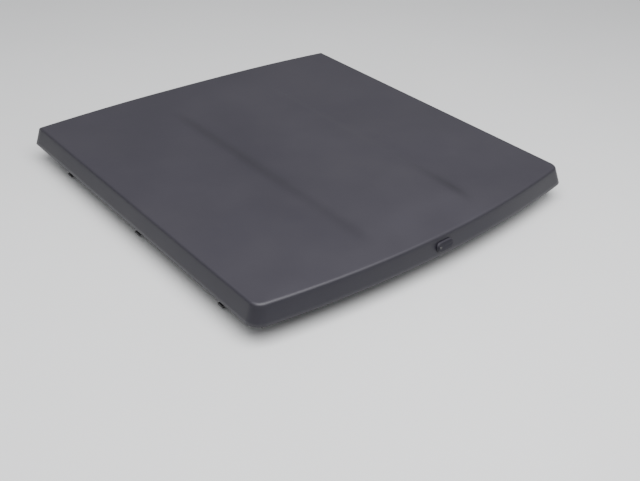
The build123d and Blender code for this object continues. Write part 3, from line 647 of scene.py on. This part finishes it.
# lifts a flat-topped shell into the crowned top with its raised middle field
def crownTree():
    labels = ("Crown", "Half width", "Rear fade", "Field half width", "Field rise", "Field slope",
              "Field front", "Field rear gap", "Field rear fade", "Field end fade", "Ridge centre",
              "Ridge spread", "Ridge grime", "Ridge end low", "Ridge end high", "Right ridge rear",
              "Right ridge front", "Right gain")
    tree, start, end = newTree("crownedTop", [(label, "Float") for label in labels])
    sideBlend = 0.05                               # half the width over which left turns into right
    meeting = 6.0                                  # how sharply the crown's two shapes meet
    bellBase = 2.718

    def calc(op, a, b=None):
        return math2(tree, op, a, b)

    def product(first, *others):
        for value in others:
            first = calc("MULTIPLY", first, value)
        return first

    def ease(value, low, high):
        node = tree.nodes.new("ShaderNodeMapRange")
        node.interpolation_type = "SMOOTHSTEP"
        for label, v in (("Value", value), ("From Min", low), ("From Max", high)):
            if isinstance(v, (int, float)):
                node.inputs[label].default_value = v
            else:
                tree.links.new(v, node.inputs[label])
        return node.outputs["Result"]

    def named(label):
        node = tree.nodes.new("GeometryNodeInputNamedAttribute")
        node.data_type = "FLOAT"
        node.inputs["Name"].default_value = label
        return node.outputs["Attribute"]

    position = tree.nodes.new("GeometryNodeInputPosition")
    split = tree.nodes.new("ShaderNodeSeparateXYZ")
    tree.links.new(position.outputs[0], split.inputs[0])
    x, y = calc("ABSOLUTE", split.outputs["X"]), split.outputs["Y"]
    liftShare, gap = named("topShare"), named("rearGap")
    out = start.outputs
    # crown: the lower of a parabola across and an arc down to the rear crease, eased where they meet
    across = calc("SUBTRACT", 1.0, calc("POWER", calc("DIVIDE", x, out["Half width"]), 2.0))
    toRear = calc("MINIMUM", calc("MAXIMUM", calc("DIVIDE", gap, out["Rear fade"]), 0.0), 1.0)
    fall = calc("SUBTRACT", 1.0, calc("POWER", calc("SUBTRACT", 1.0, toRear), 2.0))
    both = [calc("POWER", calc("MAXIMUM", v, 0.001), -meeting) for v in (across, fall)]
    crown = product(calc("POWER", calc("ADD", *both), -1.0 / meeting), out["Crown"])
    # field: full inside, eased out over its slope, and eased out at its two ends
    halfSlope = product(out["Field slope"], 0.5)
    inner = calc("SUBTRACT", out["Field half width"], halfSlope)
    outer = calc("ADD", out["Field half width"], halfSlope)
    side = calc("SUBTRACT", 1.0, ease(x, inner, outer))
    fromFront = calc("SUBTRACT", out["Field front"], y)
    frontEnd = ease(fromFront, 0.0, out["Field end fade"])
    rearEnd = ease(calc("SUBTRACT", gap, out["Field rear gap"]), 0.0, out["Field rear fade"])
    field = product(frontEnd, rearEnd, side, out["Field rise"])
    lift = product(calc("ADD", crown, field), liftShare)
    move = tree.nodes.new("ShaderNodeCombineXYZ")
    # a soft band of painted shade beside the field; on the left it runs the whole length, on the right it fades
    # forward
    band = calc("DIVIDE", calc("SUBTRACT", x, out["Ridge centre"]), out["Ridge spread"])
    bell = calc("POWER", bellBase, product(band, band, -1.0))
    onRight = ease(split.outputs["X"], -sideBlend, sideBlend)
    behind = calc("SUBTRACT", 1.0, ease(y, out["Right ridge rear"], out["Right ridge front"]))
    length = calc("ADD", calc("SUBTRACT", 1.0, onRight), product(onRight, behind, out["Right gain"]))
    ends = product(frontEnd, ease(gap, out["Ridge end low"], out["Ridge end high"]))
    # painted shade: the band's strength, stored on each point for the paint to darken by
    paintedShade = product(length, ends, bell, out["Ridge grime"])
    store = tree.nodes.new("GeometryNodeStoreNamedAttribute")
    store.data_type, store.domain = "FLOAT", "POINT"
    store.inputs["Name"].default_value = "ridgePaintedShade"
    setPlace = tree.nodes.new("GeometryNodeSetPosition")
    wireTree(tree, start, end, (
        (lift, move.inputs["Z"]), (out["Geometry"], store.inputs["Geometry"]), (paintedShade, store.inputs["Value"]),
        (store.outputs[0], setPlace.inputs["Geometry"]), (move.outputs[0], setPlace.inputs["Offset"]),
    ), setPlace.outputs[0])
    return tree


# runs a tree on an object with these inputs and keeps the plain mesh that comes out
def runTree(thing, tree, **values):
    modifier = thing.modifiers.new(tree.name, "NODES")
    modifier.node_group = tree
    for item in tree.interface.items_tree:
        key = item.name.replace(" ", "_")
        if item.item_type == "SOCKET" and item.in_out == "INPUT" and key in values:
            modifier[item.identifier] = values[key]
    bpy.context.view_layer.update()
    shaped = thing.evaluated_get(bpy.context.evaluated_depsgraph_get())
    mesh = bpy.data.meshes.new_from_object(shaped)
    old = thing.data
    thing.modifiers.remove(modifier)
    if thing.type == "MESH":
        thing.data = mesh
        bpy.data.meshes.remove(old)
        return thing
    name = thing.name
    bpy.data.objects.remove(thing)
    return newObject(name, mesh)


crownedTop = crownTree()


def crownInputs(c, finish):
    return dict(
        Crown=c["crown"], Half_width=c["halfWidth"] - c["sideLean"], Rear_fade=c["rearFade"],
        Field_half_width=c["fieldHalf"], Field_rise=c["fieldRise"], Field_slope=c["fieldSlope"],
        Field_front=c["front"] - c["fieldFrontGap"], Field_rear_gap=c["fieldRearGap"],
        Field_rear_fade=c["fieldRearFade"], Field_end_fade=c["fieldEndFade"],
        Ridge_centre=c["ridgeCentre"], Ridge_spread=c["ridgeSpread"], Ridge_grime=c["ridgeShadeDepth"],
        Ridge_end_low=c["ridgeEnds"][0], Ridge_end_high=c["ridgeEnds"][1],
        Right_ridge_rear=c["rightRidge"][0], Right_ridge_front=c["rightRidge"][1],
        Right_gain=c["rightGain"], Finish=finish)


def addFloatLayer(mesh, name, values):
    layer = mesh.attributes.new(name, "FLOAT", "POINT")
    layer.data.foreach_set("value", values)


def makeLidSkin(c):
    outer = buildShell(c, 0.0, False)
    inner = buildShell(drawnIn(c, c["wall"]), c["wall"], True)
    points = outer[0] + inner[0]
    shift = len(outer[0])
    faces = outer[1] + [tuple(i + shift for i in f) for f in inner[1]]
    share, gap = outer[2] + inner[2], outer[3] + inner[3]
    count = outer[4]
    # the rolled lower lip joins both walls
    lipRows = []
    for frac in (0.2, 0.5, 0.8):
        row = []
        for i in range(count):
            a, b = points[i], points[shift + i]
            p = a.lerp(b, frac)
            p = Vector((p.x, p.y, c["bottom"] + c["lipRoll"] * (1 - math.sin(math.pi * frac))))
            row.append(len(points))
            points.append(p)
            share.append(0.0)
            gap.append(1.0)
        lipRows.append(row)
    rows = [list(range(count))] + lipRows + [list(range(shift, shift + count))]
    for a, b in zip(rows, rows[1:]):
        for i in range(count):
            j = (i + 1) % count
            faces.append((a[i], b[i], b[j], a[j]))
    lid = meshFrom("lidShell", points, faces)
    addFloatLayer(lid.data, "topShare", share)
    addFloatLayer(lid.data, "rearGap", gap)
    lid = runTree(lid, crownedTop, **crownInputs(c, finishes["paint"]))
    place(lid, "lid_skin")
    return lid


liner = {
    "underside": 0.060, "thick": 0.003, "edgeGap": 0.0004, "front": 0.036,
    "rise": 0.008, "corner": 0.035, "cornerSteps": 8, "wallSlope": 0.005, "lipRound": 0.003,   # a pocket
    "columns": (0.040, 0.795), "firstRow": -0.070, "lastRow": -1.470, "rows": 3, "rowMargin": 0.045,
    "well": (0.080, -1.6889, -1.546), "wellCorner": (0.004, 2),
}
creasedAngle = math.radians(50)                    # folds sharper than this are shaded as edges


def roundedRectangle(x0, x1, y0, y1, r, steps):
    ring = []
    middles = ((x1 - r, y1 - r), (x0 + r, y1 - r), (x0 + r, y0 + r), (x1 - r, y0 + r))
    for (cx, cy), a0 in zip(middles, (0, 90, 180, 270)):
        for i in range(steps + 1):
            a = math.radians(a0 + 90 * i / steps)
            ring.append((cx + r * math.cos(a), cy + r * math.sin(a)))
    return ring


# one pressed pocket as rings: grown by, height, from the flat sheet to the floor
def pocketRings(c, x0, x1, y0, y1):
    rings = []
    lip, slope, rise = c["lipRound"], c["wallSlope"], c["rise"]
    rows = [(0.010, 0), (lip, 0), (lip * 0.35, lip * 0.12), (0, lip * 0.4), (-slope + lip, rise - lip * 0.8),
            (-slope, rise - lip * 0.3), (-slope - lip, rise), (-slope - 0.012, rise)]
    for grow, height in rows:
        rings.append([Vector((x, y, c["underside"] + height)) for x, y in roundedRectangle(
            x0 - grow, x1 + grow, y0 - grow, y1 + grow, c["corner"] + grow, c["cornerSteps"])])
    return rings


def makeLiner(c):
    work = bmesh.new()

    def addRing(ring):
        verts = [work.verts.new(p) for p in ring]
        edges = [work.edges.new((verts[i], verts[(i + 1) % len(verts)])) for i in range(len(verts))]
        return verts, edges

    outline = drawnIn(cover, cover["wall"] + c["edgeGap"])
    outline["front"] = c["front"]
    flat = [Vector((p.x, p.y, c["underside"])) for p in outlineAt(outline, c["underside"] + c["thick"])]
    sheetEdges = addRing(flat)[1]
    wx, wy0, wy1 = c["well"]
    sheetEdges += addRing([Vector((x, y, c["underside"])) for x, y in roundedRectangle(
        -wx, wx, wy0, wy1, *c["wellCorner"])])[1]
    pitch = (c["lastRow"] - c["firstRow"]) / c["rows"]
    for row in range(c["rows"]):
        y1 = c["firstRow"] + row * pitch - c["rowMargin"]
        y0 = c["firstRow"] + (row + 1) * pitch + c["rowMargin"]
        for side in (-1, 1):
            x0, x1 = sorted(side * v for v in c["columns"])
            previous = None
            for ring in pocketRings(c, x0, x1, y0, y1):
                verts, edges = addRing(ring)
                if previous is None:
                    sheetEdges += edges
                else:
                    for i in range(len(verts)):
                        j = (i + 1) % len(verts)
                        work.faces.new((previous[i], previous[j], verts[j], verts[i]))
                previous = verts
            work.faces.new(previous)
    bmesh.ops.triangle_fill(work, edges=sheetEdges, use_beauty=True, normal=(0, 0, -1))
    bmesh.ops.recalc_face_normals(work, faces=work.faces)
    if sum(f.normal.z * f.calc_area() for f in work.faces) > 0:
        bmesh.ops.reverse_faces(work, faces=work.faces)
    rims = [e for e in work.edges if len(e.link_faces) == 1]
    lower = list(work.faces)
    copy = bmesh.ops.duplicate(work, geom=lower)
    upper = [f for f in copy["geom"] if isinstance(f, bmesh.types.BMFace)]
    twin = copy["vert_map"]
    for vert in {v for f in upper for v in f.verts}:
        vert.co.z += c["thick"]
    bmesh.ops.reverse_faces(work, faces=upper)
    for edge in rims:
        a, b = edge.verts
        work.faces.new((a, b, twin[b], twin[a]))
    bmesh.ops.recalc_face_normals(work, faces=work.faces)
    mesh = bpy.data.meshes.new("innerLiner")
    work.to_mesh(mesh)
    work.free()
    thing = newObject("innerLiner", mesh)
    finishPiece(thing, "inner_panel")
    place(thing, "inner_panel")
    mesh.set_sharp_from_angle(angle=creasedAngle)


# drags a closed profile along a path, kept upright
def sweepTree():
    tree, start, end = newTree("sweptProfile", (("Profile", "Object"), ("Step", "Float")))
    path = tree.nodes.new("GeometryNodeMeshToCurve")
    again = tree.nodes.new("GeometryNodeResampleCurve")
    again.mode = "LENGTH"
    upright = tree.nodes.new("GeometryNodeSetCurveNormal")
    upright.mode = "Z_UP"
    info = tree.nodes.new("GeometryNodeObjectInfo")
    ring = tree.nodes.new("GeometryNodeMeshToCurve")
    sweep = tree.nodes.new("GeometryNodeCurveToMesh")
    sweep.inputs["Fill Caps"].default_value = True
    wireTree(tree, start, end, (
        (start.outputs["Geometry"], path.inputs[0]), (path.outputs[0], again.inputs["Curve"]),
        (start.outputs["Step"], again.inputs["Length"]), (again.outputs[0], upright.inputs[0]),
        (start.outputs["Profile"], info.inputs["Object"]), (info.outputs["Geometry"], ring.inputs[0]),
        (upright.outputs[0], sweep.inputs["Curve"]), (ring.outputs[0], sweep.inputs["Profile Curve"]),
    ), sweep.outputs[0])
    return tree


# sets a fastener at every point, turned to the point's aim, spun by a fixed seed
def copiesTree():
    tree, start, end = newTree("placedFasteners", (("Piece", "Object"), ("Spin", "Float"), ("Seed", "Int")))
    info = tree.nodes.new("GeometryNodeObjectInfo")
    aim = tree.nodes.new("GeometryNodeInputNamedAttribute")
    aim.data_type = "FLOAT_VECTOR"
    aim.inputs["Name"].default_value = "aim"
    align = tree.nodes.new("FunctionNodeAlignRotationToVector")
    align.axis = "Z"
    spin = tree.nodes.new("FunctionNodeRandomValue")
    spin.data_type = "FLOAT"
    turn = tree.nodes.new("ShaderNodeCombineXYZ")
    spun = tree.nodes.new("FunctionNodeEulerToRotation")
    local = tree.nodes.new("FunctionNodeRotateRotation")
    local.rotation_space = "LOCAL"
    copies = tree.nodes.new("GeometryNodeInstanceOnPoints")
    spinMax = [i for i in spin.inputs if i.name == "Max" and i.type == "VALUE"][0]
    spinValue = [o for o in spin.outputs if o.type == "VALUE"][0]
    aimOut = [o for o in aim.outputs if o.name == "Attribute" and o.type == "VECTOR"][0]
    wireTree(tree, start, end, (
        (start.outputs["Piece"], info.inputs["Object"]), (aimOut, align.inputs["Vector"]),
        (start.outputs["Spin"], spinMax), (start.outputs["Seed"], spin.inputs["Seed"]),
        (spinValue, turn.inputs["Z"]), (turn.outputs[0], spun.inputs[0]),
        (align.outputs[0], local.inputs["Rotation"]), (spun.outputs[0], local.inputs["Rotate By"]),
        (start.outputs["Geometry"], copies.inputs["Points"]), (local.outputs[0], copies.inputs["Rotation"]),
        (info.outputs["Geometry"], copies.inputs["Instance"]),
    ), copies.outputs[0])
    return tree


sweptProfile, placedFasteners = sweepTree(), copiesTree()


def turnOutward(mesh):
    work = bmesh.new()
    work.from_mesh(mesh)
    if work.calc_volume(signed=True) < 0:
        bmesh.ops.reverse_faces(work, faces=work.faces)
        work.to_mesh(mesh)
    work.free()


def sweepAlong(name, node, path, profile, step):
    ring = bpy.data.meshes.new("profileRing")
    count = len(profile)
    ring.from_pydata([(u, v, 0) for u, v in profile], [(i, (i + 1) % count) for i in range(count)], [])
    shape = newObject("profileRing", ring)
    mesh = bpy.data.meshes.new(name)
    mesh.from_pydata([tuple(p) for p in path], [(i, i + 1) for i in range(len(path) - 1)], [])
    thing = newObject(name, mesh)
    thing = runTree(thing, sweptProfile, Profile=shape, Step=step, Finish=finishes[slotOf[node]])
    bpy.data.objects.remove(shape)
    turnOutward(thing.data)
    place(thing, node)
    thing.data.set_sharp_from_angle(angle=creasedAngle)


bulb = {"mid": 0.8275, "front": -0.020, "rear": -1.600, "centre": 0.02315, "bend": 0.012,
        "half": 0.0058, "low": 0.00275, "high": 0.0028, "foot": 0.0014, "step": 0.02}


def makeBulbSeal(c):
    half = []
    for i in range(6):                             # the rear end, the side, the bend at the front corner
        half.append(Vector((c["mid"], c["rear"] + (c["front"] - c["bend"] - c["rear"]) * i / 6, c["centre"])))
    for i in range(7):
        a = math.radians(90 * i / 6)
        half.append(Vector((c["mid"] - c["bend"] * (1 - math.cos(a)),
                            c["front"] - c["bend"] * (1 - math.sin(a)), c["centre"])))
    path = half + [Vector((-p.x, p.y, p.z)) for p in reversed(half)]
    foot = c["high"] - c["foot"]
    profile = [(c["half"], c["high"]), (c["half"], foot), (c["half"] * 0.8, foot)]
    for i in range(9):
        a = math.radians(180 * i / 8)
        profile.append((c["half"] * 0.8 * math.cos(a), -c["low"] * math.sin(a)))
    profile += [(-u, v) for u, v in reversed(profile[:3])]
    sweepAlong("bulbSeal", "bulb_seal", path, profile, c["step"])


lipSeal = {"inset": 0.018, "reach": 0.755, "low": 0.002, "high": 0.026, "blade": 0.004, "bulbRadius": 0.0058,
           "step": 0.02}


def makeLipSeal(c):
    w, bow = cover["halfWidth"], cover["bow"]
    radius = (w * w + bow * bow) / (2 * bow)
    cy = cover["sideRear"] - bow + radius
    middle = (c["low"] + c["high"]) / 2
    lean = cover["lean"] / cover["skirt"]
    inner = radius - c["inset"] - lean * (middle - cover["bottom"])
    steps = 48
    widest = math.asin(c["reach"] / inner)
    path = []
    for i in range(steps + 1):
        a = widest * (2 * i / steps - 1)
        path.append(Vector((inner * math.sin(a), cy - inner * math.cos(a), middle)))
    half, r, b = (c["high"] - c["low"]) / 2, c["bulbRadius"], c["blade"] / 2
    profile = [(b, half), (b, -half + 2 * r)]
    for i in range(11):
        a = math.radians(60 - 300 * i / 10)
        profile.append((r * math.cos(a), -half + r + r * math.sin(a)))
    profile += [(-b, -half + 2 * r), (-b, half)]
    profile = [(u + v * lean, v) for u, v in profile]
    sweepAlong("lipSeal", "tailgate_seal", path, profile, c["step"])


turnedAngle = math.radians(35)


def turnedPart(name, points, faces):
    thing = meshFrom(name, points, faces)
    turnOutward(thing.data)
    thing.data.set_sharp_from_angle(angle=turnedAngle)
    return thing


# closed body from a stack of rings with the same count
def ringStack(name, rings):
    points = [p for ring in rings for p in ring]
    n = len(rings[0])
    faces = [tuple(reversed(range(n))), tuple((len(rings) - 1) * n + i for i in range(n))]
    for k in range(len(rings) - 1):
        for i in range(n):
            j = (i + 1) % n
            faces.append((k * n + i, k * n + j, (k + 1) * n + j, (k + 1) * n + i))
    return turnedPart(name, points, faces)


def circleRing(r, z, count):
    return [Vector((r * math.cos(2 * math.pi * i / count), r * math.sin(2 * math.pi * i / count), z))
            for i in range(count)]


cutBack = 0.55                                     # slope of the cone that trims a hexagon's corners


def hexRing(flat, z, count, cut=0.0):
    ring = []
    for i in range(count):
        a = 2 * math.pi * i / count
        local = (a + math.pi / 6) % (math.pi / 3) - math.pi / 6
        r = flat / math.cos(local)
        ring.append(Vector((r * math.cos(a), r * math.sin(a), z - cut * (r / flat - 1) * flat)))
    return ring


fasteners = {
    "rivet": {"shank": 0.003, "head": 0.005, "rise": 0.002, "stub": 0.003, "sides": 16},
    "socketScrew": {"shank": 0.003, "head": 0.005, "rise": 0.002, "stub": 0.003, "key": 0.0019, "sides": 24},
    "hexBolt": {"shank": 0.004, "flat": 0.0065, "rise": 0.005, "length": 0.024, "pitch": 0.00125,
                "sides": 24},
    "hexNut": {"bore": 0.004, "flat": 0.0065, "height": 0.006, "sides": 24},
    "washer": {"bore": 0.0041, "rim": 0.009, "height": 0.002, "sides": 32},
}


def domedRivet(c):
    n, r = c["sides"], c["head"]
    rings = [circleRing(c["shank"], -c["stub"], n), circleRing(c["shank"], 0, n), circleRing(r, 0, n)]
    rings += [circleRing(r * math.cos(a), c["rise"] * (0.25 + 0.75 * math.sin(a)), n)
              for a in (0.0, 0.4, 0.8, 1.2)]
    return ringStack("rivet", rings)


def socketScrew(c):
    n, r = c["sides"], c["head"]
    rings = [circleRing(c["shank"], -c["stub"], n), circleRing(c["shank"], 0, n), circleRing(r, 0, n)]
    rings += [circleRing(r * math.cos(a), c["rise"] * (0.3 + 0.75 * math.sin(a)), n)
              for a in (0.0, 0.35, 0.7, 0.95)]
    rings += [hexRing(c["key"], c["rise"] * 0.9, n), hexRing(c["key"], c["rise"] * 0.3, n)]
    return ringStack("socketScrew", rings)


def hexBolt(c):
    n, r, flat = c["sides"], c["shank"], c["flat"]
    rings, z = [circleRing(r * 0.8, -c["length"], n)], -c["length"] + c["pitch"] * 0.6
    while z < -c["length"] * 0.55:                 # thread at the nut's end
        rings += [circleRing(r, z, n), circleRing(r * 0.88, z + c["pitch"] / 2, n)]
        z += c["pitch"]
    rings += [circleRing(r, z, n), circleRing(r, 0, n), hexRing(flat, 0, n),
              hexRing(flat, c["rise"], n, cutBack), circleRing(flat * 0.94, c["rise"], n),
              circleRing(flat * 0.5, c["rise"] - 0.0003, n)]
    return ringStack("hexBolt", rings)


# a ring-shaped body: the first and last rings are the same place
def openRing(name, rings):
    n = len(rings[0])
    points = [p for ring in rings for p in ring]
    faces = []
    for k in range(len(rings)):
        other = (k + 1) % len(rings)
        for i in range(n):
            j = (i + 1) % n
            faces.append((k * n + i, k * n + j, other * n + j, other * n + i))
    return turnedPart(name, points, faces)


def hexNut(c):
    n, flat, h, r = c["sides"], c["flat"], c["height"], c["bore"]
    rings = [circleRing(r * 1.1, 0, n), circleRing(flat * 0.94, 0, n), hexRing(flat, 0, n, -cutBack),
             hexRing(flat, h, n, cutBack), circleRing(flat * 0.94, h, n), circleRing(r * 1.1, h, n),
             circleRing(r, h * 0.9, n), circleRing(r, h * 0.1, n)]
    return openRing("hexNut", rings)


def flatWasher(c):
    n, r, rim, h = c["sides"], c["bore"], c["rim"], c["height"] / 2
    rings = [circleRing(r, -h, n), circleRing(rim * 0.97, -h, n), circleRing(rim, -h * 0.7, n),
             circleRing(rim, h * 0.7, n), circleRing(rim * 0.97, h, n), circleRing(r, h, n)]
    return openRing("washer", rings)


def mirroredPairs(spots):
    return spots + [((-x, y, z), (-ax, ay, az)) for (x, y, z), (ax, ay, az) in spots]


# both heads of each rivet: place and aim, on the right side
def rivetSpots(along, ends, others):
    spots = []
    for other in others:
        for end, sign in zip(ends, (-1, 1)):
            at, aim = list(other), [0, 0, 0]
            at[along], aim[along] = end, sign
            spots.append((tuple(at), tuple(aim)))
    return spots


def setFasteners(node, spots, template, seed):
    mesh = bpy.data.meshes.new(node + "_spots")
    mesh.from_pydata([at for at, aim in spots], [], [])
    layer = mesh.attributes.new("aim", "FLOAT_VECTOR", "POINT")
    layer.data.foreach_set("vector", [v for at, aim in spots for v in aim])
    thing = newObject(node + "_set", mesh)
    thing = runTree(thing, placedFasteners, Piece=template, Spin=2 * math.pi, Seed=seed,
                    Finish=finishes[slotOf[node]])
    place(thing, node)
    thing.data.set_sharp_from_angle(angle=turnedAngle)


clampRows, clampHeight = (-0.205, -0.8025, -1.400), -0.020


def rowsAlongX(x, aim):
    return mirroredPairs([((x, y, clampHeight), (aim, 0, 0)) for y in clampRows])


railRivets = (rivetSpots(1, (0.0025, 0.008), [(x, 0, 0.011) for x in (0.535, 0.585)])
              + rivetSpots(0, (0.791, 0.798), [(0, -0.087, -0.010), (0, -0.059, -0.010), (0, -0.087, -0.030),
                                               (0, -1.591, -0.012), (0, -1.529, -0.012)]))
lidRivets = (rivetSpots(1, (-0.001, 0.005), [(x, 0, 0.041) for x in (0.535, 0.585)])
             + rivetSpots(0, (0.811, 0.818), [(0, -0.5404, 0.040), (0, -0.5044, 0.040)]))
latchScrews = rivetSpots(2, (0.057, 0.063), [(x, y, 0) for x in (0.747, 0.782) for y in (-1.580, -1.540)])


def makeFasteners():
    templates = [domedRivet(fasteners["rivet"]), socketScrew(fasteners["socketScrew"]),
                 hexBolt(fasteners["hexBolt"]), flatWasher(fasteners["washer"]), hexNut(fasteners["hexNut"])]
    rivet, screw, bolt, washer, nut = templates
    setFasteners("rail_rivets", mirroredPairs(railRivets), rivet, 3)
    setFasteners("lid_rivets", mirroredPairs(lidRivets), rivet, 4)
    setFasteners("latch_screws", mirroredPairs(latchScrews), screw, 5)
    setFasteners("clamp_bolts", rowsAlongX(0.782, -1), bolt, 6)
    setFasteners("clamp_washers", rowsAlongX(0.783, -1), washer, 7)
    setFasteners("clamp_nuts", rowsAlongX(0.798, 1), nut, 8)
    for template in templates:
        bpy.data.objects.remove(template)


# swinging cover: an oval shell on the rear bevel, domed but flat round its screw, with a thumb dimple
keyCover = {
    "centre": (0.0, -1.71892, 0.046), "normal": (0.0, -0.95577, 0.29408), "base": 0.0083, "thick": 0.0030,
    "straight": 0.025, "radius": 0.018, "steps": 14,
    "dome": 0.0016, "domeRun": 0.013, "screwAt": -0.031, "screwFlat": (0.007, 0.016),
    "dimple": 0.0009, "dimpleAt": 0.028, "dimpleRadius": 0.007,
}


def ovalRing(straight, r, steps):
    ring = []
    for side, a0 in ((1, -90), (-1, 90)):
        for i in range(steps + 1):
            a = math.radians(a0 + 180 * i / steps)
            ring.append((side * straight + r * math.cos(a), r * math.sin(a)))
    return ring


def makeKeyCover(c):
    normal = Vector(c["normal"])
    across = Vector((1, 0, 0))
    upward = normal.cross(across)
    top = c["base"] + c["thick"]

    def height(x, y, inset):
        flat, run = c["screwFlat"]
        free = smoothStep((x - c["screwAt"] - flat) / run)
        dimple = max(0.0, 1 - ((x - c["dimpleAt"]) ** 2 + y * y) / c["dimpleRadius"] ** 2) ** 2
        return top + c["dome"] * free * smoothStep(inset / c["domeRun"]) - c["dimple"] * dimple

    rings = []
    for inset, fixed in ((0.0008, c["base"]), (0, c["base"] + 0.0003), (0, top - 0.0011),
                         (0.0003, top - 0.0005), (0.0009, top - 0.0001)):
        rings.append([(x, y, fixed) for x, y in ovalRing(c["straight"], c["radius"] - inset, c["steps"])])
    for inset in (0.0015, 0.003, 0.005, 0.007, 0.009, 0.011, 0.013, 0.015, 0.017):
        rings.append([(x, y, height(x, y, inset))
                      for x, y in ovalRing(c["straight"], c["radius"] - inset, c["steps"])])
    centre = Vector(c["centre"])
    rings = [[centre + across * x + upward * y + normal * h for x, y, h in ring] for ring in rings]
    thing = ringStack("keyCover", rings)
    finishPiece(thing, "keyhole_cover")
    place(thing, "keyhole_cover")


lidShell = makeLidSkin(cover)
print("lid shell made:", len(lidShell.data.polygons), "faces")
makeLiner(liner)
makeBulbSeal(bulb)
makeLipSeal(lipSeal)
print("liner and seals made")
makeFasteners()
makeKeyCover(keyCover)
print("fasteners and key cover made")

stage = {
    "floorSize": 14.0, "floorTone": (0.88, 0.885, 0.89), "worldTone": (0.93, 0.94, 0.97), "worldPower": 0.32,
    "lights": {                                    # place, target, size, power
        "topSoft": ((-0.9, -2.9, 5.0), (0, -0.8, 0), (6.4, 5.0), 560),
        "rearSoft": ((-1.4, -5.2, 2.6), (0, -1.2, 0), (3.6, 2.2), 12),
        "sideSoft": ((-4.6, -0.2, 2.4), (0, -0.8, 0), (2.8, 2.2), 6),
    },
}


def makeFloor():
    size, low = stage["floorSize"], cadBox[0][2]
    corners = [(-size, -size, low), (size, -size, low), (size, size, low), (-size, size, low)]
    floor = meshFrom("studioFloor", corners, [(0, 1, 2, 3)], smooth=False)
    f = Finish("paleFloor", roughness=0.7)
    tone = noise(f.tree, f.place, 0.6, 3)
    speck = noise(f.tree, f.place, 220, 2)
    f.colour(f.blend(f.span(tone, 0, 1), stage["floorTone"], tuple(v * 0.96 for v in stage["floorTone"])))
    f.rough(f.span(speck, 0.6, 0.8))
    floor.data.materials.append(f.material)


def areaLight(name, spot, target, size, power):
    data = bpy.data.lights.new(name, "AREA")
    data.shape = "RECTANGLE"
    data.size, data.size_y = size
    data.energy = power
    lamp = bpy.data.objects.new(name, data)
    bpy.context.scene.collection.objects.link(lamp)
    lamp.location = spot
    lamp.rotation_euler = (Vector(target) - Vector(spot)).to_track_quat("-Z", "Y").to_euler()


def makeLight():
    world = bpy.data.worlds.new("studio")
    world.use_nodes = True
    sky = world.node_tree.nodes["Background"].inputs
    sky["Color"].default_value = (*stage["worldTone"], 1)
    sky["Strength"].default_value = stage["worldPower"]
    bpy.context.scene.world = world
    for name, settings in stage["lights"].items():
        areaLight(name, *settings)


view = {"azimuth": -43.387, "elevation": 34.674, "roll": 3.521, "distance": 3.1636,
        "aim": (-0.3131, -1.5212, 0.010), "sensor": 36, "lens": 46.24875, "shift": (-0.046875, 0.0259375),
        "nearest": 0.05}


def makeCamera():
    a, e, r = (math.radians(view[k]) for k in ("azimuth", "elevation", "roll"))
    back = Vector((math.sin(a) * math.cos(e), -math.cos(a) * math.cos(e), math.sin(e)))
    right = (-back).cross(Vector((0, 0, 1))).normalized()
    top = right.cross(-back)
    rolledRight = right * math.cos(r) + top * math.sin(r)
    rolledTop = top * math.cos(r) - right * math.sin(r)
    data = bpy.data.cameras.new("camera")
    data.sensor_width, data.lens = view["sensor"], view["lens"]
    data.shift_x, data.shift_y = view["shift"]
    data.clip_start = view["nearest"]
    camera = bpy.data.objects.new("camera", data)
    bpy.context.scene.collection.objects.link(camera)
    turn = Matrix((rolledRight, rolledTop, back)).transposed().to_4x4()
    camera.matrix_world = Matrix.Translation(Vector(view["aim"]) + back * view["distance"]) @ turn
    bpy.context.scene.camera = camera


makeFloor()
makeLight()
makeCamera()
print("stage, light and camera set")
